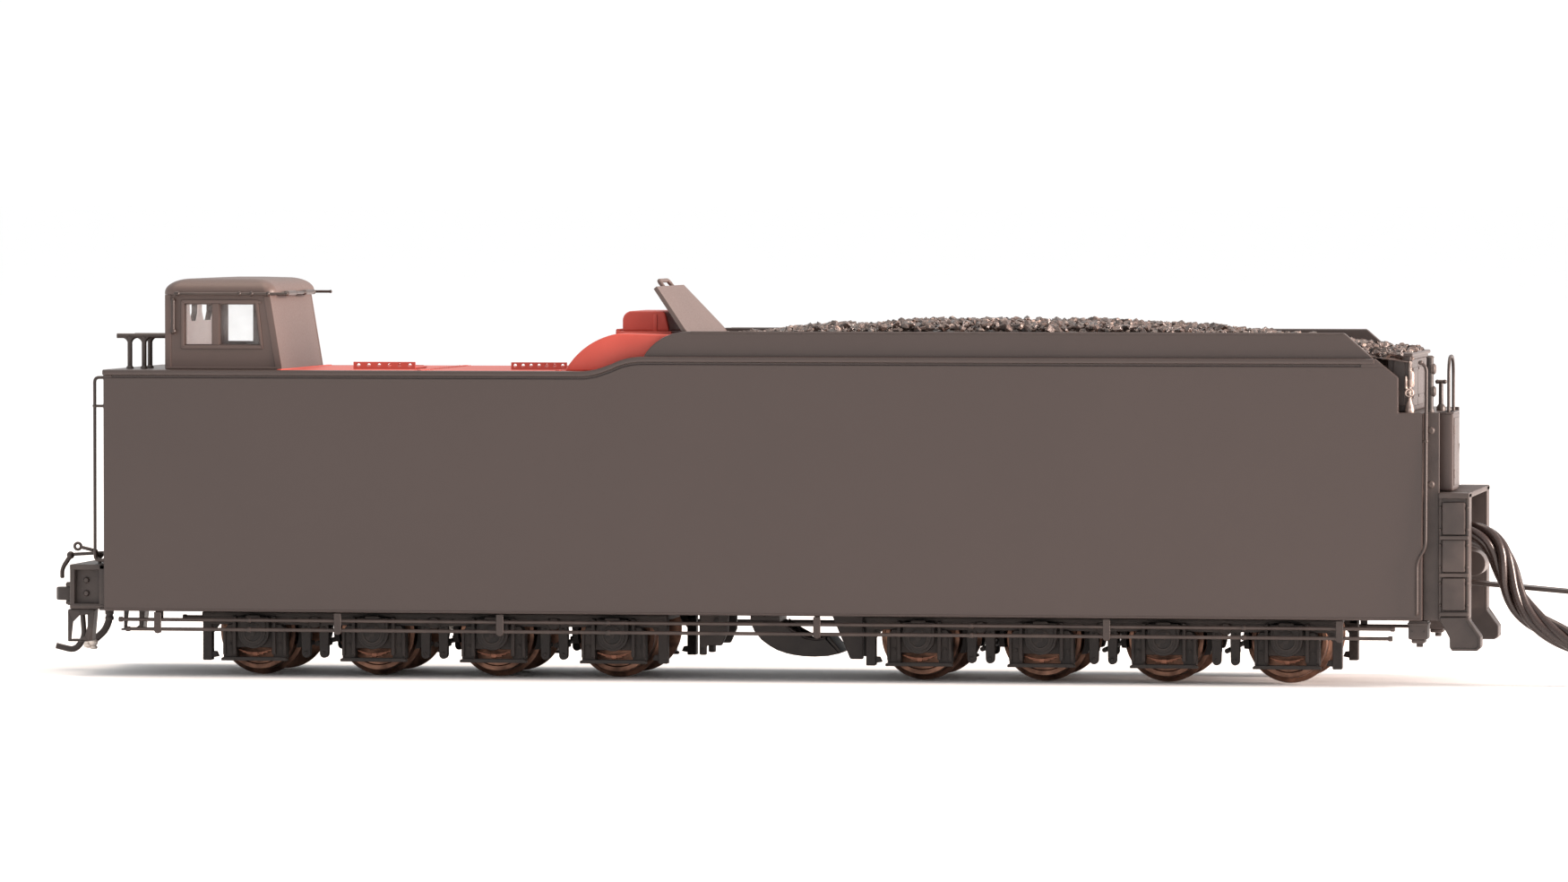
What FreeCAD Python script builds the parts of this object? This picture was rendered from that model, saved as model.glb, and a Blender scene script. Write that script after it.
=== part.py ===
import FreeCAD, Part
import math
import os
import re
import Sketcher

# A 1:87 model of a long-haul steam locomotive tender: a tall flat-sided water tank with a coal
# bunker, a small cabin on the rear deck, and two four-axle trucks.
# +X points to the engine end, +Y to the tender's left side, +Z up.  Z = 0 is the plane that the
# wheel flanges stand on, and every sub-part is drawn from the tank's middle and then shifted by
# tank_x, so that the origin is the bottom centre of the whole model.

Vector = FreeCAD.Vector
Rotation = FreeCAD.Rotation

DRIVING = [
    ("tank_x", -8.39, "x of the tank's middle"),
    ("tank_len", 180.6, "length of the tank"),
    ("half_w", 18.0, "half the width over the tank's sides"),
    ("wall", 1.2, "thickness of the tank's walls"),
    ("skirt_z", 9.0, "lower edge of the tank's sides"),
    ("deck_z", 42.0, "top of the rear deck"),
    ("ledge_z", 44.0, "ledge along the bunker"),
    ("coal_z", 47.4, "upper edge of the bunker's sides"),
    ("shelf_z", 36.8, "shelf across the front end"),
    ("deck_thick", 0.8, "thickness of decks and shelves"),
    ("curve_back", -24.1, "rear end of the curve from deck to ledge"),
    ("curve_front", -15.5, "front end of the curve from deck to ledge"),
    ("curve_rad", 9.35, "radius of both arcs of that curve"),
    ("slope_top", -9.5, "x where the bunker's rear corner meets its top edge"),
    ("slope_rad", 7.0, "radius of the bunker's rear corner"),
    ("nose_top", 79.7, "front end of the bunker's top edge"),
    ("nose_ledge", 83.9, "front end of the ledge"),
    ("nose_x", 87.0, "front edge of the side above the shelf"),
    ("nose_z", 41.5, "lower end of the side's front slope"),
    ("inset", 1.0, "step inwards from the tank's side to the bunker's"),
    ("bead", 0.22, "how far the rim beads stand out"),
    ("red_back", -66.3, "rear end of the red deck"),
    ("hump_back", -26.6, "rear end of the red casing"),
    ("hump_rad", 10.0, "radius of the red casing"),
    ("hood_back", -21.2, "rear face of the filler hood"),
    ("hood_front", -13.4, "front face of the filler hood"),
    ("hood_half", 6.5, "half the width of the filler hood"),
    ("hood_z", 46.8, "joint face between filler neck and hood"),
    ("hood_top", 50.0, "top of the filler hood"),
    ("cabin_back", -82.6, "rear wall of the cabin"),
    ("cabin_front", -66.3, "foot of the cabin's front wall"),
    ("cabin_eave_front", -68.0, "top of the cabin's front wall"),
    ("cabin_half", 13.4, "half the width of the cabin"),
    ("eave_z", 52.2, "top of the cabin's walls"),
    ("roof_z", 54.5, "top of the cabin's roof"),
    ("sheet_thick", 0.8, "thickness of the cabin's walls and roof"),
    ("floor_z", 12.8, "underside of the underframe"),
    ("floor_thick", 1.6, "thickness of the underframe"),
    ("truck_back_x", -45.3, "middle of the rear truck"),
    ("truck_front_x", 46.7, "middle of the front truck"),
    ("axle_gap", 16.65, "spacing of the axles"),
    ("tread_rad", 5.25, "radius of the wheel treads"),
    ("flange_rad", 5.95, "radius of the wheel flanges, and height of the axles"),
    ("back_half", 7.2, "half the distance between the backs of two wheels"),
    ("wheel_half", 10.0, "half the distance over two wheels' outer faces"),
    ("axle_rad", 1.0, "radius of the axles"),
    ("journal_rad", 0.6, "radius of the axles' ends"),
    ("journal_end", 13.2, "half the length of the axles"),
    ("play", 0.05, "running clearance all round"),
    ("frame_in", 10.9, "inner face of the truck sides"),
    ("frame_out", 13.1, "outer face of the truck sides"),
    ("frame_half", 32.4, "half the length of the truck sides"),
    ("frame_top", 8.8, "top of the truck sides"),
    ("journal_out", 14.3, "outer face of the journal boxes"),
    ("tie_z", 2.1, "underside of the truck sides' tie bars"),
    ("king_rad", 1.5, "radius of the shoulder screws"),
    ("beam_back", 95.3, "rear face of the rear end beam, from the middle"),
    ("coupler_z", 10.6, "height of the coupler's middle"),
    ("step_x", 92.4, "rear face of the front steps"),
    ("step_front", 96.5, "front face of the front steps"),
    ("step_top", 26.1, "top of the front steps"),
    ("buffer_x", 95.9, "line of the round nose of the front buffer"),
    ("buffer_z", 16.1, "height of that line"),
    ("bar_pivot", 86.0, "x of the drawbar's pivot"),
    ("bar_hook", 116.0, "x of the hole for the engine's pin"),
    ("bar_z", 13.6, "underside of the drawbar at its pivot"),
    ("bar_drop", 1.9, "how far the drawbar's front end lies lower"),
    ("pocket_x", 81.0, "rear end of the raised floor over the drawbar"),
    ("pocket_z", 14.3, "underside of that raised floor"),
    ("post_x", 78.5, "x of the body screws, either way from the middle"),
    ("post_y", 14.2, "y of the body screws, either side"),
    ("screw_rad", 0.6, "radius of the body screws"),
    ("bar_thick", 0.6, "thickness of the drawbar"),
    ("pin_rad", 1.15, "radius of the hole for the engine's pin"),
    ("tether_rad", 1.7, "radius of the bundle of wires"),
]

doc = FreeCAD.newDocument("Tender")
dims = doc.addObject("Spreadsheet::Sheet", "Dims")
for row, (alias, size, meaning) in enumerate(DRIVING, start=1):
    dims.set(f"A{row}", meaning)
    dims.set(f"B{row}", str(size))
    dims.setAlias(f"B{row}", alias)
doc.recompute()

ALIASES = {alias for alias, _, _ in DRIVING}
WORD = re.compile(r"[a-z][a-z_]*")
nodes = {}


def bound(formula):
    """The formula with each driving dimension named as a cell of the sheet."""
    return WORD.sub(lambda m: "Dims." + m.group() if m.group() in ALIASES else m.group(), str(formula))


def size_of(formula):
    """The formula's value now."""
    return float(dims.evalExpression(bound(formula)))


def unique(name):
    """An object name not used yet in the document."""
    count = 1
    while doc.getObject(f"{name}_{count}"):
        count += 1
    return f"{name}_{count}"


# ---------------------------------------------------------------- building blocks

def block(x, y, z):
    """A box between two formulas along each axis."""
    piece = doc.addObject("Part::Box", unique("block"))
    for side, (low, high) in zip(("Length", "Width", "Height"), (x, y, z)):
        piece.setExpression(side, bound(f"({high}) - ({low})"))
    for letter, (low, _) in zip("xyz", (x, y, z)):
        piece.setExpression(f"Placement.Base.{letter}", bound(low))
    return piece


def bar(radius, axis, start, length):
    """A cylinder along +x, +y or +z from a start point."""
    piece = doc.addObject("Part::Cylinder", unique("bar"))
    turns = {"x": Rotation(Vector(0, 1, 0), 90), "y": Rotation(Vector(1, 0, 0), -90), "z": Rotation()}
    piece.Placement = FreeCAD.Placement(Vector(), turns[axis])
    piece.setExpression("Radius", bound(radius))
    piece.setExpression("Height", bound(length))
    for letter, place in zip("xyz", start):
        piece.setExpression(f"Placement.Base.{letter}", bound(place))
    return piece


def arc_between(start, end, radius):
    """The short arc from start to end: a positive radius has its centre on the left."""
    middle = (start + end) * 0.5
    along = end - start
    left = Vector(-along.y, along.x, 0).normalize()
    rise = math.sqrt(max(radius * radius - along.Length * along.Length / 4, 0))
    centre = middle + left * math.copysign(rise, radius)
    first, last = (start, end) if radius > 0 else (end, start)
    angles = [math.atan2(p.y - centre.y, p.x - centre.x) for p in (first, last)]
    if angles[1] < angles[0]:
        angles[1] += 2 * math.pi
    return Part.ArcOfCircle(Part.Circle(centre, Vector(0, 0, 1), abs(radius)), *angles)


def draw(body, plane, outline, offset="0"):
    """A closed, fully constrained sketch.  Each corner is (u, v), or (u, v, radius) where an arc
    runs on to the next corner.  The sketch lies offset along its plane's own normal."""
    sketch = body.newObject("Sketcher::SketchObject", unique("sketch"))
    origin_plane = [f for f in body.Origin.OriginFeatures if f.Role == plane][0]
    sketch.AttachmentSupport = [(origin_plane, "")]
    sketch.MapMode = "FlatFace"
    sketch.setExpression("AttachmentOffset.Base.z", bound(offset))
    corners = [Vector(size_of(c[0]), size_of(c[1]), 0) for c in outline]
    start_of = []
    for index, corner in enumerate(outline):
        here, there = corners[index], corners[(index + 1) % len(corners)]
        if len(corner) == 3:
            radius = size_of(corner[2])
            sketch.addGeometry(arc_between(here, there, radius), False)
            start_of.append(1 if radius > 0 else 2)
        else:
            sketch.addGeometry(Part.LineSegment(here, there), False)
            start_of.append(1)
    for index, corner in enumerate(outline):
        following = (index + 1) % len(outline)
        end_of = 3 - start_of[index]
        sketch.addConstraint(Sketcher.Constraint("Coincident", index, end_of, following, start_of[following]))
        for kind, formula in (("DistanceX", corner[0]), ("DistanceY", corner[1])):
            number = sketch.addConstraint(
                Sketcher.Constraint(kind, -1, 1, index, start_of[index], size_of(formula)))
            sketch.setExpression(f"Constraints[{number}]", bound(formula))
        if len(corner) == 3:
            number = sketch.addConstraint(Sketcher.Constraint("Radius", index, abs(size_of(corner[2]))))
            sketch.setExpression(f"Constraints[{number}]", bound(f"abs({corner[2]})"))
    return sketch


def new_body():
    """An empty body."""
    return doc.addObject("PartDesign::Body", unique("body"))


def pad(plane, outline, low, high, body=None):
    """A pad of the outline between two places along the axis that its plane faces.
    On XZ_Plane the outline is (x, z), on YZ_Plane (y, z) and on XY_Plane (x, y)."""
    body = body or new_body()
    sign = "-1 * " if plane == "XZ_Plane" else ""
    feature_sketch = draw(body, plane, outline, f"{sign}(({low}) + ({high})) / 2")
    feature = body.newObject("PartDesign::Pad", unique("pad"))
    feature.Profile = feature_sketch
    feature.SideType = "Symmetric"
    feature.setExpression("Length", bound(f"({high}) - ({low})"))
    return body


def turned(plane, outline):
    """A solid of revolution about its sketch's upright axis."""
    body = new_body()
    feature_sketch = draw(body, plane, outline)
    feature = body.newObject("PartDesign::Revolution", unique("revolution"))
    feature.Profile = feature_sketch
    feature.ReferenceAxis = (feature_sketch, ["V_Axis"])
    feature.Angle = 360
    return body


def fuse(*pieces):
    """One solid of several that touch or overlap."""
    result = doc.addObject("Part::MultiFuse", unique("fuse"))
    result.Shapes = list(pieces)
    result.Refine = True
    return result


def cut(base, *tools):
    """The base less its tools."""
    result = doc.addObject("Part::Cut", unique("cut"))
    result.Base = base
    result.Tool = tools[0] if len(tools) == 1 else group(*tools)
    result.Refine = True
    return result


def group(*pieces):
    """Several separate solids kept as one object."""
    result = doc.addObject("Part::Compound", unique("group"))
    result.Links = list(pieces)
    return result


def mirrored(piece):
    """The same piece on the other side of the tender."""
    result = doc.addObject("Part::Mirroring", unique("mirror"))
    result.Source = piece
    result.Normal = Vector(0, 1, 0)
    return result


def both_sides(piece):
    """The piece and its mirror image as one object."""
    return group(piece, mirrored(piece))


def bend_radii(points, wanted=None):
    """The arc radius at each inner point: the wanted one, or as large as its two runs allow."""
    radii = []
    for before, here, after in zip(points, points[1:], points[2:]):
        half_turn = (here - before).getAngle(after - here) / 2
        room = 0.45 * min((here - before).Length, (after - here).Length) / math.tan(half_turn)
        radii.append(min(room, wanted) if wanted else room)
    return radii


def path_of(points, radii):
    """Straight runs joined by tangent arcs."""
    edges = []
    last = points[0]
    for before, here, after, radius in zip(points, points[1:], points[2:], radii):
        coming = (here - before).normalize()
        going = (after - here).normalize()
        half_turn = coming.getAngle(going) / 2
        tangent = radius * math.tan(half_turn)
        start = here - coming * tangent
        end = here + going * tangent
        inward = (going - coming).normalize()
        middle = here + inward * (radius / math.cos(half_turn) - radius)
        edges.append(Part.LineSegment(last, start).toShape())
        edges.append(Part.Arc(start, middle, end).toShape())
        last = end
    edges.append(Part.LineSegment(last, points[-1]).toShape())
    return Part.Wire(edges)


def rod(radius, route, bend=None):
    """A round wire or tube along a route of (x, y, z) formulas."""
    points = [Vector(*(size_of(formula) for formula in point)) for point in route]
    path = path_of(points, bend_radii(points, bend))
    ring = Part.Circle(points[0], points[1] - points[0], size_of(radius))
    piece = doc.addObject("Part::Feature", unique("rod"))
    piece.Shape = path.makePipe(Part.Face(Part.Wire(ring.toShape())))
    return piece


def node(name, piece):
    """Names a finished sub-part and moves it from the tank's middle to the model's own frame."""
    drawn_at = dict(piece.ExpressionEngine).get(".Placement.Base.x", "0")
    piece.setExpression("Placement.Base.x", f"{drawn_at} + Dims.tank_x")
    piece.Label = name
    nodes[name] = piece
    return piece


def opposite(name, near_name):
    """A sub-part that is the mirror image of a finished one."""
    piece = mirrored(nodes[near_name])
    piece.Label = name
    nodes[name] = piece


# ---------------------------------------------------------------- tank and bunker

def tank_side():
    """The near side: the tall wall, the bunker's upper plate set inwards, and the rim beads."""
    wall = pad("XZ_Plane", [
        ("-tank_len / 2", "skirt_z"), ("tank_len / 2", "skirt_z"), ("tank_len / 2", "shelf_z"),
        ("nose_x", "shelf_z"), ("nose_x", "nose_z"), ("nose_ledge", "ledge_z"),
        ("curve_front", "ledge_z", "curve_rad"),
        ("(curve_back + curve_front) / 2", "(deck_z + ledge_z) / 2", "-curve_rad"),
        ("curve_back", "deck_z"), ("-tank_len / 2", "deck_z"),
    ], "-half_w", "-half_w + wall")
    upper = pad("XZ_Plane", [
        ("curve_front - 0.4", "ledge_z - 1.4"), ("nose_ledge - 0.5", "ledge_z - 1.4"),
        ("nose_ledge - 0.5", "ledge_z"), ("nose_top", "coal_z"), ("slope_top", "coal_z", "slope_rad"),
        ("curve_front - 0.4", "ledge_z - 0.2"),
    ], "-half_w + inset", "-half_w + inset + wall")
    rim = pad("XZ_Plane", [
        ("-tank_len / 2", "deck_z - 0.8"), ("curve_back", "deck_z - 0.8", "curve_rad"),
        ("(curve_back + curve_front) / 2", "(deck_z + ledge_z) / 2 - 0.8", "-curve_rad"),
        ("curve_front", "ledge_z - 0.8"), ("nose_ledge", "ledge_z - 0.8"), ("nose_ledge", "ledge_z"),
        ("curve_front", "ledge_z", "curve_rad"),
        ("(curve_back + curve_front) / 2", "(deck_z + ledge_z) / 2", "-curve_rad"),
        ("curve_back", "deck_z"), ("-tank_len / 2", "deck_z"),
    ], "-half_w - bead", "-half_w")
    return fuse(wall, upper, rim)


def tank():
    """The shell that drops over the underframe, with the painted deck, casing and coal on top."""
    side = tank_side()
    inner = ("-half_w + wall", "half_w - wall")
    full = ("-half_w", "half_w")
    rear_wall = block(("-tank_len / 2", "-tank_len / 2 + wall"), full, ("skirt_z", "deck_z"))
    front_wall = block(("tank_len / 2 - wall", "tank_len / 2"), full, ("skirt_z", "shelf_z"))
    rear_roof = block(("-tank_len / 2", "red_back"), inner, ("deck_z - deck_thick", "deck_z"))
    bunker_floor = block(("slope_top", "nose_x - 2"), inner, ("coal_z - 8", "coal_z - 8 + deck_thick"))
    bunker_back = block(("slope_top - deck_thick", "slope_top + 0.9"), inner, ("coal_z - 8", "coal_z - 1.4"))
    shelf = block(("nose_x - 2.8", "tank_len / 2"), inner, ("shelf_z - deck_thick", "shelf_z"))
    gate_web = block(("nose_x - 2.8", "nose_x - 2"), inner, ("shelf_z", "coal_z - 8"))
    top_of_floor = "floor_z + floor_thick"
    posts = [block((f"{x} - 2.4", f"{x} + 2.4"), ("-half_w + wall", "-post_y + 2.2"), (top_of_floor, "22"))
             for x in ("-post_x", "post_x")]
    threads = [bar("screw_rad", "z", (x, "-post_y", top_of_floor), "4") for x in ("-post_x", "post_x")]
    posts = cut(group(*posts), *threads)
    bar_slot = block(("tank_len / 2 - wall - 1", "tank_len / 2 + 1"), ("-7", "7"), ("skirt_z - 1", "16.4"))
    coupler_slot = block(("-tank_len / 2 - 1", "-tank_len / 2 + wall + 1"), ("-3.1", "3.1"),
                         ("skirt_z - 1", "floor_z"))
    shell = fuse(side, mirrored(side), rear_wall, front_wall, rear_roof, bunker_floor, bunker_back, shelf,
                 gate_web, posts, mirrored(posts))
    node("tank_shell", cut(shell, bar_slot, coupler_slot))

    deck = block(("red_back", "slope_top - deck_thick"), inner, ("deck_z - deck_thick", "deck_z"))
    strips = [hinge_strip("-57.2", 8.6, 6), hinge_strip("-35.2", 7.7, 7)]
    node("rear_deck", fuse(deck, *strips))
    hatch_lid("rear_hatch_lid", "-57.2", 8.6)
    hatch_lid("front_hatch_lid", "-35.2", 7.7)

    reach = "hump_back + 8.1"
    casing = pad("XZ_Plane", [
        ("hump_back", "deck_z"), ("slope_top - 1", "deck_z"), ("slope_top - 1", "deck_z + 4"),
        (reach, "deck_z + 4", "hump_rad"),
    ], "-half_w + inset + wall + 0.1", "half_w - inset - wall - 0.1")
    neck = block(("hood_back + 0.6", "hood_front - 0.4"), ("-hood_half + 0.4", "hood_half - 0.4"),
                 ("deck_z + 3.5", "hood_z - 0.6"))
    lip = block(("hood_back - 0.7", "hood_front + 0.3"), ("-hood_half - 0.5", "hood_half + 0.5"),
                ("hood_z - 0.6", "hood_z"))
    mouth = block(("hood_back + 1.4", "hood_front - 1.2"), ("-hood_half + 1.2", "hood_half - 1.2"),
                  ("hood_z - 3", "hood_z + 1"))
    node("hump_casing", cut(fuse(casing, neck, lip), mouth))

    hood = pad("XZ_Plane", [
        ("hood_back", "hood_z"), ("hood_front", "hood_z"), ("hood_front - 0.9", "hood_top"),
        ("hood_back + 1.5", "hood_top", "1.5"), ("hood_back", "hood_top - 1.5"),
    ], "-hood_half", "hood_half")
    hollow = block(("hood_back + 0.8", "hood_front - 1.5"), ("-hood_half + 0.8", "hood_half - 0.8"),
                   ("hood_z - 1", "hood_top - 0.8"))
    node("filler_hood", cut(hood, hollow))


HINGE_Y = -9.0


def hinge_strip(start, length, holes):
    """A perforated strip that stands on the deck along a hatch."""
    strip = block((start, f"{start} + {length}"), (HINGE_Y - 0.2, HINGE_Y + 0.2), ("deck_z", "deck_z + 1.0"))
    pitch = length / holes
    drilled = [bar("0.26", "y", (f"{start} + {(number + 0.5) * pitch}", HINGE_Y - 1, "deck_z + 0.55"), "2")
               for number in range(holes)]
    return cut(strip, *drilled)


def hatch_lid(name, start, length):
    """A low water hatch lid that lies on the deck and swings up about the line of its strip."""
    lid = block((start, f"{start} + {length}"), (HINGE_Y + 0.3, HINGE_Y + 8.3), ("deck_z", "deck_z + 0.35"))
    handle = block((f"{start} + {length / 2 - 1}", f"{start} + {length / 2 + 1}"),
                   (HINGE_Y + 6.9, HINGE_Y + 7.3), ("deck_z + 0.35", "deck_z + 0.6"))
    node(name, fuse(lid, handle))


def bunker():
    """The slanted plate behind the coal, the coal itself and the gate wall in front of it."""
    foot, head, top = "-9.2", "-15.2", "coal_z + 5.9"
    thick = 0.7
    face = pad("YZ_Plane", [
        ("-15.6", "coal_z - 1.4"), ("15.6", "coal_z - 1.4"), ("15.6", "coal_z + 0.2"),
        ("10.9", top), ("-10.9", top), ("-15.6", "coal_z + 0.2"),
    ], "-16", "-8")
    slab = pad("XZ_Plane", [
        (foot, "coal_z - 1.4"), (f"{foot} + {thick}", "coal_z - 1.4"), (f"{head} + {thick}", top), (head, top),
    ], "-half_w", "half_w")
    plate = doc.addObject("Part::Common", unique("common"))
    plate.Base = face
    plate.Tool = slab
    loop = rod("0.3", [
        (f"{head} + 0.4", "-3.6", f"{top} - 0.3"), (f"{head} - 0.5", "-3.6", f"{top} + 0.8"),
        (f"{head} - 0.5", "3.6", f"{top} + 0.8"), (f"{head} + 0.4", "3.6", f"{top} - 0.3"),
    ], 0.6)
    node("coal_bulkhead", fuse(plate, loop))

    half = "half_w - inset - wall"
    heap = pad("XZ_Plane", [
        ("slope_top + 1.2", "coal_z - 7.2"), ("nose_x - 3", "coal_z - 7.2"), ("nose_x - 3", "coal_z - 2.6"),
        ("nose_x + 1.2", "coal_z - 2.6"), ("nose_x + 0.8", "coal_z - 1.4"),
        ("nose_top + 2.5", "coal_z - 0.6"),
        ("71", "coal_z"), ("60", "coal_z + 1.6"), ("20", "coal_z + 1.9"), ("-3", "coal_z"),
        ("slope_top + 1.2", "coal_z - 0.6"),
    ], f"-({half})", half)
    node("coal_load", heap)

    gate = block(("nose_x - 1.8", "tank_len / 2 - 1.7"), ("-14", "14"), ("shelf_z", "coal_z - 2.7"))
    node("coal_gate", gate)


# ---------------------------------------------------------------- cabin on the rear deck

def slanted_front(inset_by, low, high):
    """Outline of the cabin between two heights, drawn in from its walls."""
    lean = "(cabin_front - cabin_eave_front) / (eave_z - deck_z)"
    front_low = f"cabin_front - {inset_by} - ({low} - deck_z) * {lean}"
    front_high = f"cabin_front - {inset_by} - ({high} - deck_z) * {lean}"
    return [(f"cabin_back + {inset_by}", low), (front_low, low), (front_high, high),
            (f"cabin_back + {inset_by}", high)]


WINDOW_LOW = 45.3
WINDOW_HIGH = 51.0


def cabin():
    """Four thin walls, a window of two panes in each side, three rear windows, roof and glazing."""
    outer = pad("XZ_Plane", slanted_front("0", "deck_z", "eave_z"), "-cabin_half", "cabin_half")
    inner = pad("XZ_Plane", slanted_front("sheet_thick", "deck_z - 1", "eave_z + 1"),
                "-cabin_half + sheet_thick", "cabin_half - sheet_thick")
    panes = []
    for start, end_low, end_high in (("-79.9", "-76.0", "-76.0"), ("-75.1", "-69.3", "-70.0")):
        panes.append(pad("XZ_Plane", [(start, WINDOW_LOW), (end_low, WINDOW_LOW), (end_high, WINDOW_HIGH),
                                      (start, WINDOW_HIGH)], "-half_w", "half_w"))
    rear_lights = [
        pad("YZ_Plane", [(left, WINDOW_HIGH), (left, 49.6), (left + 1.1, 48.4), (right - 1.1, 48.4), (right, 49.6),
                         (right, WINDOW_HIGH)], "cabin_back - 1", "cabin_back + sheet_thick + 0.5")
        for left, right in ((-11.9, -5.0), (-2.6, 2.6), (5.0, 11.9))]
    walls = cut(outer, inner, *panes, *rear_lights)
    surrounds = []
    for low, high in ((WINDOW_LOW - 0.35, WINDOW_LOW), (WINDOW_HIGH, WINDOW_HIGH + 0.35)):
        surrounds.append(block(("-80.3", "-69.2"), ("-cabin_half - 0.2", "-cabin_half"), (low, high)))
    surrounds.append(block(("-80.3", "-79.9"), ("-cabin_half - 0.2", "-cabin_half"),
                           (WINDOW_LOW - 0.35, WINDOW_HIGH + 0.35)))
    frames = [fuse(*surrounds)]
    frames.append(mirrored(frames[0]))
    node("doghouse", fuse(walls, *frames))

    lid = block(("cabin_back - 0.3", "cabin_eave_front + 0.7"), ("-cabin_half - 0.4", "cabin_half + 0.4"),
                ("eave_z", "roof_z"))
    roof = doc.addObject("Part::Fillet", unique("fillet"))
    roof.Base = lid
    doc.recompute()
    top_edges = [number for number, edge in enumerate(lid.Shape.Edges, start=1)
                 if abs(edge.BoundBox.ZMin - size_of("roof_z")) < 0.01]
    roof.Edges = [(number, 2.1, 2.1) for number in top_edges]
    node("doghouse_roof", roof)

    pane = block(("-80.2", "-69.6"), ("-cabin_half + sheet_thick", "-cabin_half + sheet_thick + 0.3"),
                 (WINDOW_LOW - 0.4, WINDOW_HIGH + 0.4))
    node("doghouse_glazing", both_sides(pane))

    eave = "eave_z + 0.15"
    side_rail = rod("0.2", [("-80.9", "-cabin_half - 0.4", eave), ("-80.9", "-cabin_half - 1.0", eave),
                            ("cabin_eave_front + 2.6", "-cabin_half - 1.0", eave)], 0.3)
    brackets = [block((f"{x} - 0.3", f"{x} + 0.3"), ("-cabin_half - 1.3", "-cabin_half - 0.4"),
                      ("eave_z - 0.2", "eave_z + 0.5")) for x in (-70.3, -68.0)]
    drop_rail = rod("0.28", [("-81.4", "-cabin_half", "51.5"), ("-81.4", "-cabin_half - 0.8", "51.5"),
                             ("-81.4", "-cabin_half - 0.8", "47.2"), ("-81.4", "-cabin_half", "47.2")], 0.4)
    front_rail = rod("0.2", [("cabin_eave_front + 0.7", "-9", eave), ("cabin_eave_front + 1.3", "-9", eave),
                             ("cabin_eave_front + 1.3", "9", eave), ("cabin_eave_front + 0.7", "9", eave)], 0.3)
    sleeves = [bar("0.34", "y", ("cabin_eave_front + 1.3", y, eave), "5.2") for y in ("-8.4", "3.2")]
    near = fuse(side_rail, *brackets)
    node("cabin_grab_rails", group(near, mirrored(near), drop_rail, mirrored(drop_rail),
                                   fuse(front_rail, *sleeves)))


# ---------------------------------------------------------------- underframe and what it carries

def shoulder_screw(x, low, shoulder_top, thread_top):
    """A pan-head shoulder screw, head down, that a truck or the drawbar swings on."""
    body = turned("XZ_Plane", [
        ("0", low), ("2.5", low), ("2.5", f"{low} + 1.3"), ("king_rad", f"{low} + 1.3"),
        ("king_rad", shoulder_top), ("1", shoulder_top), ("1", thread_top), ("0", thread_top),
    ])
    body.setExpression("Placement.Base.x", bound(x))
    return body


def underframe():
    """The floor under the tank, raised in front over the drawbar, with bosses for the screws."""
    top = "floor_z + floor_thick"
    pocket_top = "pocket_z + floor_thick"
    inner = ("-half_w + wall", "half_w - wall")
    floor = block(("-tank_len / 2 + wall", "pocket_x"), inner, ("floor_z", top))
    riser = block(("pocket_x", "pocket_x + floor_thick"), inner, ("floor_z", pocket_top))
    pocket = block(("pocket_x", "tank_len / 2 - wall"), inner, ("pocket_z", pocket_top))
    king_bosses = [bar("2.6", "z", (x, "0", top), "3") for x in ("truck_back_x", "truck_front_x")]
    bar_boss = bar("2.6", "z", ("bar_pivot", "0", pocket_top), "2.6")
    threads = [bar("1", "z", (x, "0", "floor_z - 1"), "8")
               for x in ("truck_back_x", "truck_front_x", "bar_pivot")]
    clearance = [bar("screw_rad + 0.1", "z", (x, y, "floor_z - 1"), "4")
                 for x in ("-post_x", "post_x") for y in ("-post_y", "post_y")]
    node("underframe", cut(fuse(floor, riser, pocket, *king_bosses, bar_boss), *threads, *clearance))

    screws = []
    for x in ("-post_x", "post_x"):
        for y in ("-post_y", "post_y"):
            head = bar("1.2", "z", (x, y, "floor_z - 0.6"), "0.6")
            screws.append(fuse(head, bar("screw_rad", "z", (x, y, "floor_z"), "5")))
    node("body_screws", group(*screws))
    kings = [shoulder_screw(x, "6.05", "floor_z", "floor_z + 4") for x in ("truck_back_x", "truck_front_x")]
    node("kingpin_screws", group(*kings))
    node("drawbar_screw", shoulder_screw("bar_pivot", "bar_z - 1.4", "pocket_z", "pocket_z + 4"))


def cargo():
    """What the tank holds: a weight over the rear truck, a circuit board on legs, a speaker."""
    top = "floor_z + floor_thick"
    weight = block(("-38", "8"), ("-12", "12"), (top, f"{top} + 8"))
    notch = block(("truck_back_x - 4", "truck_back_x + 11"), ("-4", "4"), (top, f"{top} + 3.2"))
    node("weight", cut(weight, notch))

    board_z, board_thick = 4.0, 1.2
    board = block(("14", "74"), ("-11", "11"), (f"{top} + {board_z}", f"{top} + {board_z + board_thick}"))
    legs = [bar("1.2", "z", (x, y, top), board_z) for x in ("17", "71") for y in ("-9", "9")]
    face = board_z + board_thick
    chips = []
    for x, length, width, tall in ((24, 9, 9, 1.4), (40, 12, 12, 1.6), (60, 6, 10, 3.0)):
        chips.append(block((x, x + length), (-width / 2, width / 2),
                           (f"{top} + {face}", f"{top} + {face + tall}")))
    node("circuit_board", fuse(board, *legs, *chips))

    can = bar("12.5", "z", ("-67", "0", top), "8.5")
    cone = doc.addObject("Part::Cone", unique("cone"))
    for side, formula in (("Radius1", "3"), ("Radius2", "10.5"), ("Height", "3.2"),
                          ("Placement.Base.x", "-67"), ("Placement.Base.z", f"{top} + 5.4")):
        cone.setExpression(side, bound(formula))
    node("speaker", cut(can, cone))


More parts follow.
